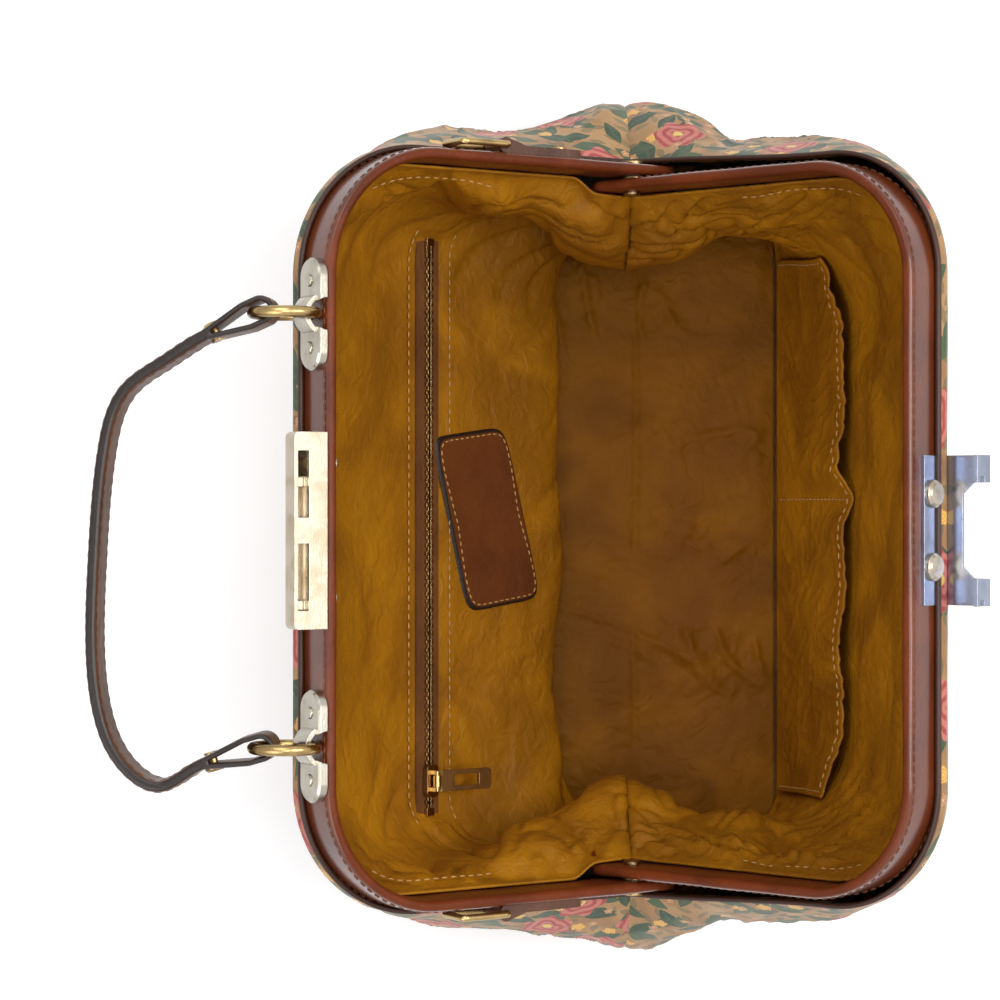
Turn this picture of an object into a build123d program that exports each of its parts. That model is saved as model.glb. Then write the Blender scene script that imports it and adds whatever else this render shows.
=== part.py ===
from build123d import *
import math
import os

os.makedirs("parts", exist_ok=True)

# Driving sizes, mm
HINGE_Z = 125.0          # height of the hinge line over the floor
REAR_TILT = 33.6         # rear half's arms above the horizontal, degrees
FRONT_TILT = 40.7        # front half's arms above the horizontal, degrees

BAND_WIDTH = 20.0        # width of each leather-covered band
BAND_THICK = 4.4         # over the covering
STRIP_THICK = 2.0        # steel strip inside the covering
STRIP_WIDTH = 16.0
REAR_REACH = 141.0       # hinge line to the outside of the rear bar
REAR_HALF = 139.5        # half of the rear half's outside width
REAR_BEND = 48.0         # outside radius of the rear bar's corners
ARM_GAP = 1.3            # between the nested arms at each pivot
NEST_GAP = 4.2           # between the nested bars, room for the catch's rivets
FRONT_HALF = REAR_HALF - BAND_THICK - ARM_GAP
FRONT_REACH = REAR_REACH - BAND_THICK - NEST_GAP
FRONT_BEND = 44.0
ARM_TAIL = 11.0          # arm beyond the pivot, to its rounded end

PIN_RADIUS = 2.4
PIN_CLEARANCE = 0.06     # radial, pin in the arms
PIN_HEAD_RADIUS = 3.3
PIN_HEAD_THICK = 1.5
PIN_END_RADIUS = 4.6
SIDE_CLEARANCE = 0.1     # axial, heads and washers beside the arms

SOFT_GAP = 0.5           # soft walls to the moving frame
LEATHER_THICK = 1.8
LINING_THICK = 0.9
SEAM_HALF = REAR_HALF + 1.5    # inside of the outer leather at the gusset seam

FOOT_HEIGHT = 4.0
FOOT_RADIUS = 6.0
FOOT_SHANK = 2.0
FOOT_INSET = 28.0
BASE_HALF_LENGTH = 150.0
BASE_HALF_DEPTH = 70.0
BASE_CORNER = 30.0
BOARD_THICK = 2.5

LOCK_HALF = 35.0
LOCK_HEIGHT = 13.5
LOCK_DEPTH = 9.5
LOCK_WALL = 1.2
SLOT_INNER = 4.6
SLOT_OUTER = 28.3
SLOT_CENTRE = 9.8        # slots' centre above the rear band
SLOT_HEIGHT = 4.4
LATCH_TRAVEL = 5.0
LATCH_CLEARANCE = 0.15
LATCH_FOOT = 4.0         # underside of the latch above the band
LATCH_HEIGHT = 3.6
TOOTH_WIDTH = 3.2

CATCH_HALF = 26.7
CATCH_THICK = 1.2
CATCH_LIP = 3.0          # flange's edge, from the band's mid line towards the rim
CATCH_BACK = 10.5        # riser's near face, from the band's mid line
PRONG_INNER = 17.0
PRONG_THICK = 1.5
PRONG_TIP = 3.0          # prong's end, from the band's mid line
PRONG_NOTCH = 2.2

MOUNT_X = 77.0
MOUNT_LENGTH = 40.4
MOUNT_WIDTH = 14.0
MOUNT_THICK = 3.6
ARCH_WIDTH = 9.0
ARCH_HOLE = 5.8
ARCH_OUTER = 7.6
RING_RADIUS = 11.3
RING_WIRE = 2.05
RING_LIFT = 0.2          # wire clear of the band under it
RIVET_SHANK = 1.5

STRAP_WIDTH = 16.0
STRAP_THICK = 4.2
PLY_THICK = 2.1
HANDLE_DROOP = 5.0       # below the horizontal, degrees
HANDLE_REACH = 69.0      # ring centre to the middle of the grip

SIDE_TAB_START = 27.0    # from the hinge line along the arm
SIDE_TAB_END = 63.0
SIDE_TAB_WIDTH = 10.0
SIDE_TAB_THICK = 1.6
SIDE_RING_WIRE = 1.3
SIDE_RING_LENGTH = 20.0

PATCH_LENGTH = 72.0
PATCH_HEIGHT = 32.0
PATCH_THICK = 1.4
ZIP_HALF = 112.0
ZIP_LEVEL = 0.52         # share of the lining's height
TAPE_HEIGHT = 15.0
TAPE_THICK = 1.0
ZIP_SLOT = 1.1
ROW_WIDTH = 1.7
TOOTH_HEIGHT = 1.3
TOOTH_PITCH = 3.2
PULL_LIFT = 20.0         # pull lies against the wall's bulge, degrees off the tape
PULL_LENGTH = 26.0
SLIDER_INSET = 11.0      # slider's middle from the end of the zip
POCKET_LEVEL = 0.52

BAND_HALF = BAND_WIDTH / 2
MOUNT_MID = BAND_HALF - MOUNT_WIDTH / 2
RING_CENTRE = REAR_REACH + RING_LIFT + RING_WIRE + RING_RADIUS
MADE = {}


def keep(name, shape):
    """Hold one named piece until all are made."""
    MADE[name] = shape


def rear(shape):
    """Stand a piece drawn on the upright rear half at its open angle."""
    return Pos(0, 0, HINGE_Z) * Rot(X=-(90 - REAR_TILT)) * shape


def front(shape):
    """Stand a piece drawn on the upright front half at its open angle."""
    return Pos(0, 0, HINGE_Z) * Rot(X=90 - FRONT_TILT) * shape


def block(x0, x1, y0, y1, z0, z1):
    """Box between opposite corners."""
    (x0, x1), (y0, y1), (z0, z1) = sorted((x0, x1)), sorted((y0, y1)), sorted((z0, z1))
    return Pos((x0 + x1) / 2, (y0 + y1) / 2, (z0 + z1) / 2) * Box(x1 - x0, y1 - y0, z1 - z0)


def rod_x(x0, x1, y, z, r):
    """Round bar along the bag's length."""
    return Pos((x0 + x1) / 2, y, z) * Rot(Y=90) * Cylinder(r, x1 - x0)


def rod_z(x, y, z0, z1, r):
    """Round bar along the height."""
    return Pos(x, y, (z0 + z1) / 2) * Cylinder(r, z1 - z0)


def hoop(half, reach, bend, thick, width, tail):
    """Upright U of flat strip, hinge line at z = 0, with rounded arm ends."""
    depth = reach + 60
    outer = Plane.XZ * Pos(0, reach - depth) * RectangleRounded(2 * half, 2 * depth, bend)
    inner = Plane.XZ * Pos(0, reach - thick - depth) * RectangleRounded(
        2 * (half - thick), 2 * depth, bend - thick)
    strip = extrude(outer - inner, width / 2, both=True)
    end = width / 2 - tail
    reach_box = block(-half - 1, half + 1, -width, width, end, reach + 1)
    return strip & (reach_box + rod_x(-half - 1, half + 1, 0, end, width / 2))


# Frame halves, drawn upright; the meeting side is -Y on the rear half, +Y on the front half
SKIN = (BAND_THICK - STRIP_THICK) / 2
MARGIN = (BAND_WIDTH - STRIP_WIDTH) / 2
PIN_BORE = PIN_RADIUS + PIN_CLEARANCE


def frame_half(half, reach, bend):
    """Steel strip and its leather covering, both drilled for the pivots."""
    whole = hoop(half, reach, bend, BAND_THICK, BAND_WIDTH, ARM_TAIL)
    core = hoop(half - SKIN, reach - SKIN, bend - SKIN, STRIP_THICK, STRIP_WIDTH, ARM_TAIL - MARGIN)
    bore = rod_x(-half - 5, half + 5, 0, 0, PIN_BORE)
    return core - bore, whole - core - bore


core_rear, cover_rear = frame_half(REAR_HALF, REAR_REACH, REAR_BEND)
core_front, cover_front = frame_half(FRONT_HALF, FRONT_REACH, FRONT_BEND)


def stud(x, y, z0, z1, head, head_height):
    """Round shank with a low dome on its upper end."""
    shank = rod_z(x, y, z0, z1, RIVET_SHANK)
    dome = rod_z(x, y, z1, z1 + head_height, head)
    return shank + chamfer(dome.edges().group_by(Axis.Z)[-1], head_height * 0.45)


# Lock on the rear bar
top = REAR_REACH
lock_back = -(BAND_HALF - LOCK_DEPTH)
shell = block(-LOCK_HALF, LOCK_HALF, -BAND_HALF, lock_back, top, top + LOCK_HEIGHT)
shell = fillet(shell.edges().filter_by(Axis.X).group_by(Axis.Z)[-1].sort_by(Axis.Y)[-1], 4.0)
shell = fillet(shell.edges().filter_by(Axis.Y).group_by(Axis.Z)[-1], 2.0)
cavity = block(-LOCK_HALF + LOCK_WALL, LOCK_HALF - LOCK_WALL, -BAND_HALF + LOCK_WALL,
               lock_back - LOCK_WALL, top - 1, top + LOCK_HEIGHT - LOCK_WALL)
cavity = fillet(cavity.edges().filter_by(Axis.X).group_by(Axis.Z)[-1].sort_by(Axis.Y)[-1], 2.8)
shell = shell - cavity
slot_low = top + SLOT_CENTRE - SLOT_HEIGHT / 2
for side in (-1, 1):
    x0, x1 = sorted((side * SLOT_INNER, side * SLOT_OUTER))
    shell = shell - block(x0, x1, -BAND_HALF - 1, -BAND_HALF + LOCK_WALL + 0.1,
                          slot_low, slot_low + SLOT_HEIGHT)
neck_low = top + LATCH_FOOT + 0.4
neck_high = top + LATCH_FOOT + LATCH_HEIGHT - 0.4
shell = shell - block(-2 - LATCH_TRAVEL - 0.3, 2.3, lock_back - LOCK_WALL - 0.1, lock_back + 1,
                      neck_low - LATCH_CLEARANCE, neck_high + LATCH_CLEARANCE)

# Plate under the lock with the latch's rest on it, and the rivets that hold it
plate_front = -BAND_HALF + LOCK_WALL
plate_back = lock_back - LOCK_WALL
plate = block(-LOCK_HALF + LOCK_WALL, LOCK_HALF - LOCK_WALL, plate_front, plate_back, top, top + 1.2)
rest = block(-12, 12, plate_front, plate_back, top + 1.2, top + LATCH_FOOT)
LOCK_RIVET_X = 24.0
mid_y = (plate_front + plate_back) / 2
lock_rivets = None
for x in (-LOCK_RIVET_X, LOCK_RIVET_X):
    one = stud(x, mid_y, top - BAND_THICK, top + 1.2, 2.6, 0.8)
    one = one + rod_z(x, mid_y, top - BAND_THICK - 0.7, top - BAND_THICK, 2.6)
    lock_rivets = one if lock_rivets is None else lock_rivets + one
    hole = rod_z(x, mid_y, top - BAND_THICK - 1, top + 1.2, RIVET_SHANK)
    plate, core_rear, cover_rear = plate - hole, core_rear - hole, cover_rear - hole
lock_plate = plate + rest

# Latch: a bar with two teeth that slides along the lock, and its thumb piece outside
latch_low = top + LATCH_FOOT + LATCH_CLEARANCE
latch_high = top + LATCH_FOOT + LATCH_HEIGHT
latch_front, latch_back = plate_front + 0.6, plate_back - LATCH_CLEARANCE
prong_mid = (CATCH_BACK + PRONG_TIP) / 2 - 0.4
tooth_half = 0.8
latch = block(-28.2, 19.2, latch_front, latch_back, latch_low, latch_high)
for x in (PRONG_INNER - 1.4, -CATCH_HALF - 1.4):
    latch = latch + block(x, x + TOOTH_WIDTH, -prong_mid - tooth_half, -prong_mid + tooth_half,
                          latch_high - 0.5, top + SLOT_CENTRE + 1.6)
latch = latch + block(-2, 2, latch_back - 1, lock_back + 0.6, neck_low, neck_high)
thumb = block(-6.5, 6.5, lock_back + LATCH_CLEARANCE, lock_back + 2.2, top + 2.2, top + 9.4)
thumb = fillet(thumb.edges().filter_by(Axis.Y), 1.6)
for x in (-3.6, -1.2, 1.2, 3.6):
    thumb = thumb - block(x - 0.4, x + 0.4, lock_back + 1.6, lock_back + 3, top + 3.4, top + 8.2)
latch = latch + thumb

# Handle mounts: a plate with a saddle arch that the ring threads
mounts = {}
mount_rivets = None
for side, name in ((-1, "left"), (1, "right")):
    x = side * MOUNT_X
    base = Pos(x, -MOUNT_MID, top) * extrude(
        SlotOverall(MOUNT_LENGTH, MOUNT_WIDTH), MOUNT_THICK)
    base = chamfer(base.edges().group_by(Axis.Z)[-1], 0.8)
    arch = Pos(x, -MOUNT_MID, top) * Rot(X=90) * Cylinder(ARCH_OUTER, ARCH_WIDTH)
    arch = arch & block(x - 9, x + 9, -12, 6, top, top + 9)
    tunnel = Pos(x, -MOUNT_MID, top) * Rot(X=90) * Cylinder(ARCH_HOLE, 40)
    mount = (base + arch) - tunnel
    for dx in (-12.0, 12.0):
        shank = rod_z(x + dx, -MOUNT_MID, top - BAND_THICK - 0.7, top + MOUNT_THICK, RIVET_SHANK)
        mount, core_rear, cover_rear = mount - shank, core_rear - shank, cover_rear - shank
        one = stud(x + dx, -MOUNT_MID, top - BAND_THICK, top + MOUNT_THICK, 2.3, 0.7)
        one = one + rod_z(x + dx, -MOUNT_MID, top - BAND_THICK - 0.7, top - BAND_THICK, 2.6)
        mount_rivets = one if mount_rivets is None else mount_rivets + one
    mounts[name] = mount

# Side tabs: a folded leather strip on each rear arm, holding a long ring
ring_x = REAR_HALF + SIDE_TAB_THICK + SIDE_RING_WIRE + 0.1
loop_outer = SIDE_RING_WIRE + 0.1 + SIDE_TAB_THICK
tabs, side_rings, tab_rivets = {}, {}, None
TAB_MID = 2.5
for side, name in ((-1, "left"), (1, "right")):
    flat = block(REAR_HALF, REAR_HALF + 2 * SIDE_TAB_THICK, -TAB_MID - SIDE_TAB_WIDTH / 2,
                 -TAB_MID + SIDE_TAB_WIDTH / 2, SIDE_TAB_START, SIDE_TAB_END)
    loop = Pos(ring_x, -TAB_MID, SIDE_TAB_END) * Rot(X=90) * Cylinder(loop_outer, SIDE_TAB_WIDTH)
    wedge = Plane(origin=(0, -TAB_MID, 0), x_dir=(1, 0, 0), z_dir=(0, -1, 0)) * make_face(
        Polyline((REAR_HALF, SIDE_TAB_END), (ring_x, SIDE_TAB_END), (ring_x + loop_outer, SIDE_TAB_END),
                 (REAR_HALF + 2 * SIDE_TAB_THICK, SIDE_TAB_END - 9), (REAR_HALF, SIDE_TAB_END - 9), close=True))
    wedge = extrude(wedge, SIDE_TAB_WIDTH / 2, both=True)
    hole = Pos(ring_x, -TAB_MID, SIDE_TAB_END) * Rot(X=90) * Cylinder(SIDE_RING_WIRE + 0.1, 40)
    tab = flat + wedge + loop - hole
    tip = Pos(0, -TAB_MID, SIDE_TAB_START + 5) * Rot(Y=90) * Cylinder(SIDE_TAB_WIDTH / 2, 400)
    tab = tab & (tip + block(0, 200, -20, 20, SIDE_TAB_START + 5, 90))
    shank = rod_x(REAR_HALF - BAND_THICK, REAR_HALF + 2 * SIDE_TAB_THICK, -TAB_MID, SIDE_TAB_START + 9,
                  RIVET_SHANK)
    head = rod_x(REAR_HALF + 2 * SIDE_TAB_THICK, REAR_HALF + 2 * SIDE_TAB_THICK + 0.9, -TAB_MID,
                 SIDE_TAB_START + 9, 2.8)
    rivet = shank + head
    tab = tab - shank
    half_w = SIDE_TAB_WIDTH / 2 + 0.5 + SIDE_RING_WIRE
    path = Plane(origin=(ring_x, -TAB_MID, SIDE_TAB_END), x_dir=(0, 1, 0), z_dir=(1, 0, 0)) * Pos(
        0, SIDE_RING_LENGTH / 2) * RectangleRounded(2 * half_w, SIDE_RING_LENGTH, 1.5)
    path = path.face().outer_wire()
    mark = path @ 0
    way = path % 0
    ring = sweep(Plane(origin=mark, z_dir=way) * Circle(SIDE_RING_WIRE), path=path)
    if side < 0:
        tab, rivet, ring, shank = (mirror(s, about=Plane.YZ) for s in (tab, rivet, ring, shank))
    core_rear, cover_rear = core_rear - shank, cover_rear - shank
    tabs[name], side_rings[name] = tab, ring
    tab_rivets = rivet if tab_rivets is None else tab_rivets + rivet

# Catch on the front bar: flange, riser beyond the band's edge, two notched prongs
low = FRONT_REACH
prong_level = REAR_REACH + SLOT_CENTRE - PRONG_THICK / 2
catch = block(-CATCH_HALF, CATCH_HALF, -CATCH_BACK - CATCH_THICK, CATCH_LIP, low, low + CATCH_THICK)
catch = catch + block(-CATCH_HALF, CATCH_HALF, -CATCH_BACK - CATCH_THICK, -CATCH_BACK, low, low + 8.5)
CATCH_RIVET_X = 13.0
CATCH_RIVET_Y = -2.6
catch_rivets = None
for side in (-1, 1):
    x0, x1 = sorted((side * PRONG_INNER, side * CATCH_HALF))
    arm = block(x0, x1, -CATCH_BACK - CATCH_THICK, -CATCH_BACK, low, prong_level + PRONG_THICK)
    prong = block(x0, x1, -CATCH_BACK - CATCH_THICK, -PRONG_TIP, prong_level, prong_level + PRONG_THICK)
    notch_x = min(x0, x1)
    notch = block(notch_x - 1, notch_x + PRONG_NOTCH, -prong_mid - 1.5, -prong_mid + 1.5,
                  prong_level - 1, prong_level + PRONG_THICK + 1)
    gusset = Plane(origin=(0, -CATCH_BACK, 0), x_dir=(1, 0, 0), z_dir=(0, -1, 0)) * make_face(
        Polyline((side * PRONG_INNER, low + 8.4), (side * (PRONG_INNER - 4), low + 8.4),
                 (side * PRONG_INNER, low + 13), close=True))
    catch = catch + arm + (prong - notch) + extrude(gusset, CATCH_THICK)
    hole = rod_z(side * CATCH_RIVET_X, CATCH_RIVET_Y, low - BAND_THICK, low + CATCH_THICK, RIVET_SHANK)
    catch, core_front, cover_front = catch - hole, core_front - hole, cover_front - hole
    one = stud(side * CATCH_RIVET_X, CATCH_RIVET_Y, low - BAND_THICK, low + CATCH_THICK, 5.0, 2.3)
    one = one + rod_z(side * CATCH_RIVET_X, CATCH_RIVET_Y, low - BAND_THICK - 0.6, low - BAND_THICK, 2.6)
    catch_rivets = one if catch_rivets is None else catch_rivets + one

keep("frame_core_rear", rear(core_rear))
keep("frame_cover_rear", rear(cover_rear))
keep("frame_core_front", front(core_front))
keep("frame_cover_front", front(cover_front))
keep("lock_housing", rear(shell))
keep("lock_plate", rear(lock_plate))
keep("lock_rivets", rear(lock_rivets))
keep("lock_latch", rear(latch))
for name in ("left", "right"):
    keep(f"handle_mount_{name}", rear(mounts[name]))
    keep(f"side_tab_{name}", rear(tabs[name]))
    keep(f"side_ring_{name}", rear(side_rings[name]))
keep("mount_rivets", rear(mount_rivets))
keep("side_tab_rivets", rear(tab_rivets))
keep("catch_plate", front(catch))
keep("catch_rivets", front(catch_rivets))

# Pivot pins through both arms, with a washer between the arms
inner_face = FRONT_HALF - BAND_THICK
for side, name in ((-1, "left"), (1, "right")):
    pin = rod_x(inner_face - SIDE_CLEARANCE - PIN_HEAD_THICK, SEAM_HALF, 0, HINGE_Z, PIN_RADIUS)
    dome = rod_x(inner_face - SIDE_CLEARANCE - PIN_HEAD_THICK, inner_face - SIDE_CLEARANCE, 0, HINGE_Z,
                 PIN_HEAD_RADIUS)
    dome = chamfer(dome.edges().group_by(Axis.X)[0], 0.6)
    pin = pin + dome + rod_x(REAR_HALF + SIDE_CLEARANCE, SEAM_HALF, 0, HINGE_Z, PIN_END_RADIUS)
    washer = rod_x(FRONT_HALF + SIDE_CLEARANCE, FRONT_HALF + ARM_GAP - SIDE_CLEARANCE, 0, HINGE_Z, 5.0)
    washer = washer - rod_x(0, SEAM_HALF, 0, HINGE_Z, PIN_RADIUS)
    if side < 0:
        pin, washer = mirror(pin, about=Plane.YZ), mirror(washer, about=Plane.YZ)
    keep(f"pivot_pin_{name}", pin)
    keep(f"pivot_washer_{name}", washer)

# Handle, drawn in the plane of its rings' centres: x along the bag, y out along the strap
lean = math.radians(90 - REAR_TILT)
ring_y = -MOUNT_MID * math.cos(lean) + RING_CENTRE * math.sin(lean)
ring_z = HINGE_Z + MOUNT_MID * math.sin(lean) + RING_CENTRE * math.cos(lean)
droop = math.radians(HANDLE_DROOP)
strap_plane = Plane(origin=(0, ring_y, ring_z), x_dir=(1, 0, 0), z_dir=(0, math.sin(droop), math.cos(droop)))
RIGHT_LEAN = math.radians(24)      # strap's lean towards the bag's left at the right ring
LEFT_LEAN = math.radians(16)
LOOP_VOID = 3.1
LOOP_START = 7.7


def along(side, turn, distance):
    """Point on a strap end's middle line, measured from the middle of its fold."""
    x0 = side * MOUNT_X + math.tan(turn) * 1.8
    return (x0 - math.sin(turn) * distance, LOOP_START + math.cos(turn) * distance)


def taper(side, turn, r_wide, r_narrow, reach):
    """Outline around the fold: two equal circles and a smaller one further out."""
    rounds = [Pos(*along(side, turn, 0)) * Circle(r_wide), Pos(*along(side, turn, 5.5)) * Circle(r_wide),
              Pos(*along(side, turn, reach)) * Circle(r_narrow)]
    return make_hull([edge for one in rounds for edge in one.edges()])


ends = ((1, RIGHT_LEAN, "right"), (-1, LEFT_LEAN, "left"))
route = [along(1, RIGHT_LEAN, 20), (59.5, 43), (50, 56), (28, 64), (-10, 67.4), (-42, 68.2), (-67, 65.0),
         (-83, 57), (-90.5, 44), along(-1, LEFT_LEAN, 20)]
path = Spline(*[strap_plane.from_local_coords((x, y, 0)) for x, y in route])
strap = sweep(Plane(origin=path @ 0, x_dir=strap_plane.z_dir, z_dir=path % 0)
              * Rectangle(STRAP_WIDTH, STRAP_THICK), path=path)
handle_rivets = None
for side, turn, name in ends:
    fold = taper(side, turn, LOOP_VOID + PLY_THICK, PLY_THICK, 21)
    void = taper(side, turn, LOOP_VOID, 0.3, 17)
    fold = extrude(strap_plane * fold, STRAP_WIDTH / 2, both=True)
    strap = strap + fold - extrude(strap_plane * void, STRAP_WIDTH, both=True)
for side, turn, name in ends:
    spot = along(side, turn, 18.5)
    out = (side * math.cos(turn), side * math.sin(turn))
    axis = Plane(origin=strap_plane.from_local_coords((*spot, 0)),
                 z_dir=strap_plane.from_local_coords((spot[0] + out[0], spot[1] + out[1], 0))
                 - strap_plane.from_local_coords((*spot, 0)))
    half = STRAP_THICK / 2 + 0.25
    shank = axis * Cylinder(RIVET_SHANK, 2 * half)
    strap = strap - axis * Cylinder(RIVET_SHANK, 12)
    strap = strap - axis * Pos(0, 0, half + 3) * Cylinder(3.8, 6) - axis * Pos(0, 0, -half - 3) * Cylinder(2.8, 6)
    head = axis * Pos(0, 0, half + 0.7) * Cylinder(3.8, 1.4)
    head = chamfer(head.edges().sort_by(lambda e: e.center().X * side)[-1], 0.8)
    one = shank + head + axis * Pos(0, 0, -half - 0.4) * Cylinder(2.8, 0.8)
    handle_rivets = one if handle_rivets is None else handle_rivets + one
    ring = Pos(side * MOUNT_X, ring_y, ring_z) * Rot(Y=90) * Torus(RING_RADIUS, RING_WIRE)
    keep(f"handle_ring_{name}", ring)
keep("handle_strap", strap)
keep("handle_rivets", handle_rivets)


# Soft walls: closed thin sections that fan from the flat base up to each open half
def ease(t):
    """Smooth step from 0 to 1."""
    t = min(max(t, 0.0), 1.0)
    return t * t * (3 - 2 * t)


def bump(t, middle, spread):
    """Round hump of height 1."""
    return math.exp(-((t - middle) / spread) ** 2)


def half_loop(seam, corner, depth, bend, fine=1):
    """Points of one half's U from seam to seam, x along the bag, s outwards."""
    straight = depth - bend
    arm, turn, bar = 6 * fine, 6 * fine, 5 * fine
    points = []
    for i in range(arm):
        k = i / arm
        points.append((seam + (corner - seam) * ease(k), straight * k))
    for i in range(turn):
        a = math.pi / 2 * i / turn
        points.append((corner - bend + bend * math.cos(a), straight + bend * math.sin(a)))
    for i in range(bar):
        points.append(((corner - bend) * (1 - i / bar), depth))
    right = points + [(0.0, depth)]
    return right + [(-x, s) for x, s in reversed(points)]


def offset(points, distance):
    """Move a half loop outwards, seam ends staying on the seam line."""
    moved = []
    last = len(points) - 1
    for i, (x, s) in enumerate(points):
        xa, sa = points[max(i - 1, 0)]
        xb, sb = points[min(i + 1, last)]
        dx, ds = (0.0, 1.0) if i == 0 else (0.0, -1.0) if i == last else (xb - xa, sb - sa)
        n = math.hypot(dx, ds)
        d = distance[i] if isinstance(distance, list) else distance
        moved.append((x + ds / n * d, s - dx / n * d))
    return moved


class Wall:
    """One half of a soft wall, from t = 0 at the base to t = 1 at the frame."""

    def __init__(self, side, tilt, low, high, base, top_loop, shape, ripple):
        self.side, self.tilt, self.low, self.high = side, math.radians(tilt), low, high
        self.base, self.top_loop, self.shape, self.ripple = base, top_loop, shape, ripple

    def loop(self, t, fine=1):
        """Half loop at a level: straight blend of base and top, then the wall's own shape."""
        seam, corner, depth, bend = [b + (u - b) * t for b, u in zip(self.base, self.top_loop)]
        ds, dc, dd, db = self.shape(t)
        points = half_loop(seam + ds, corner + dc, depth + dd, bend + db, fine)
        return offset(points, [self.ripple(x, s, t, depth + dd - s) for x, s in points])

    def place(self, point, t):
        """In-plane point to the row frame."""
        a = self.tilt * t ** 1.3
        x, s = point
        return (x, self.side * s * math.cos(a), self.low + (self.high - self.low) * t + s * math.sin(a))

    def section(self, t, near, far):
        """Closed thin face between two offsets of the loop."""
        loop = self.loop(t)
        a = [self.place(p, t) for p in offset(loop, near)]
        b = [self.place(p, t) for p in offset(loop, far)]
        return strip_face(a, b, self.shares())

    def shares(self):
        """Shares of the loop's length at each point half way up, used at every level."""
        loop = self.loop(0.5)
        trail = [0.0]
        for p, q in zip(loop, loop[1:]):
            trail.append(trail[-1] + math.dist(p, q))
        return [w / trail[-1] for w in trail]

    def build(self, levels, near, far):
        return loft([self.section(t, near, far) for t in levels], ruled=True)

    def panel(self, levels, stations, near, far):
        """Sheet along the wall, through stations measured from the middle of the bar."""
        faces = []
        for t in levels:
            loop = self.loop(t, 5)
            middle = len(loop) // 2
            trail = [0.0] * len(loop)
            for i in range(middle + 1, len(loop)):
                trail[i] = trail[i - 1] + math.dist(loop[i], loop[i - 1])
            for i in range(middle - 1, -1, -1):
                trail[i] = trail[i + 1] - math.dist(loop[i], loop[i + 1])
            rows = []
            for gap in (near, far):
                run = []
                for w in stations:
                    i = next(i for i in range(len(trail) - 1) if trail[i + 1] >= w)
                    k = (w - trail[i]) / (trail[i + 1] - trail[i])
                    (xa, sa), (xb, sb) = loop[i], loop[i + 1]
                    n = math.hypot(xb - xa, sb - sa)
                    d = gap(-w, t)
                    point = (xa + (xb - xa) * k + (sb - sa) / n * d, sa + (sb - sa) * k - (xb - xa) / n * d)
                    run.append(self.place(point, t))
                rows.append(run)
            shares = [(w - stations[0]) / (stations[-1] - stations[0]) for w in stations]
            faces.append(strip_face(*rows, shares))
        return loft(faces, ruled=True)

    def lip(self, near, far, height):
        """Straight edge above the wall, square to its top section."""
        up = Vector(0, -self.side * math.sin(self.tilt), math.cos(self.tilt))
        return extrude(self.section(1.0, near, far), amount=height, dir=up)


def strip_face(a, b, shares):
    """Face between two point runs, with the same shares of length at their points."""
    back = [1 - w for w in reversed(shares)]
    ahead_edge = Edge.make_spline([Vector(*p) for p in a], parameters=shares)
    back_edge = Edge.make_spline([Vector(*p) for p in reversed(b)], parameters=back)
    return make_face(Wire([ahead_edge, Edge.make_line(a[-1], b[-1]), back_edge, Edge.make_line(b[0], a[0])]))


TOP_EDGE = 11.0           # where the leather turns up beside the band, from the band's mid line
LIP = 5.0                 # leather beside the band
EDGE_LOW = CATCH_BACK + CATCH_THICK + 0.6
rear_rad, front_rad = math.radians(REAR_TILT), math.radians(FRONT_TILT)


def seam_top(angle, edge):
    """Height at the seam of a plane set back from the band's mid line."""
    return HINGE_Z - edge / math.cos(angle)


def plane_depth(angle, edge, reach):
    """Distance in that plane from the seam line to a reach along the arms."""
    return reach + edge * math.tan(angle)


base_top = FOOT_HEIGHT + LEATHER_THICK
LEVELS = [0, 0.08, 0.18, 0.3, 0.42, 0.54, 0.66, 0.78, 0.89, 1.0]
leather_base_loop = (BASE_HALF_LENGTH, BASE_HALF_LENGTH - 2, BASE_HALF_DEPTH, BASE_CORNER)


def leather_shape(t):
    belly = math.sin(math.pi * t)
    return 25 * belly ** 0.9, 13 * belly, 7 * belly, 16 * belly


def leather_ripple_rear(x, s, t, inward):
    end = ease((abs(x) - SEAM_HALF + 31) / 35) * ease(s / 12)
    belly = math.sin(math.pi * t)
    return belly * end * (1.8 * math.sin(s / 15 + 2.4 * t + (0.8 if x > 0 else 2.1)))


def leather_ripple_front(x, s, t, inward):
    end = ease((abs(x) - SEAM_HALF + 31) / 35) * ease(s / 12)
    belly = math.sin(math.pi * t)
    fold = -4.5 * bump(s, 46 if x > 0 else 40, 9)
    return belly * end * (fold + 1.4 * math.sin(s / 17 + 1.9 * t + (0.3 if x > 0 else 1.7)))


rear_leather = Wall(1, REAR_TILT, base_top, seam_top(rear_rad, TOP_EDGE), leather_base_loop,
                    (SEAM_HALF, REAR_HALF + SOFT_GAP, plane_depth(rear_rad, TOP_EDGE, REAR_REACH + SOFT_GAP),
                     REAR_BEND + SOFT_GAP), leather_shape, leather_ripple_rear)
front_edge = (HINGE_Z - seam_top(rear_rad, TOP_EDGE)) * math.cos(front_rad)
front_leather = Wall(-1, FRONT_TILT, base_top, seam_top(rear_rad, TOP_EDGE), leather_base_loop,
                     (SEAM_HALF, FRONT_HALF + 3.2, plane_depth(front_rad, front_edge, FRONT_REACH + SOFT_GAP),
                      FRONT_BEND + SOFT_GAP), leather_shape, leather_ripple_front)

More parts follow.
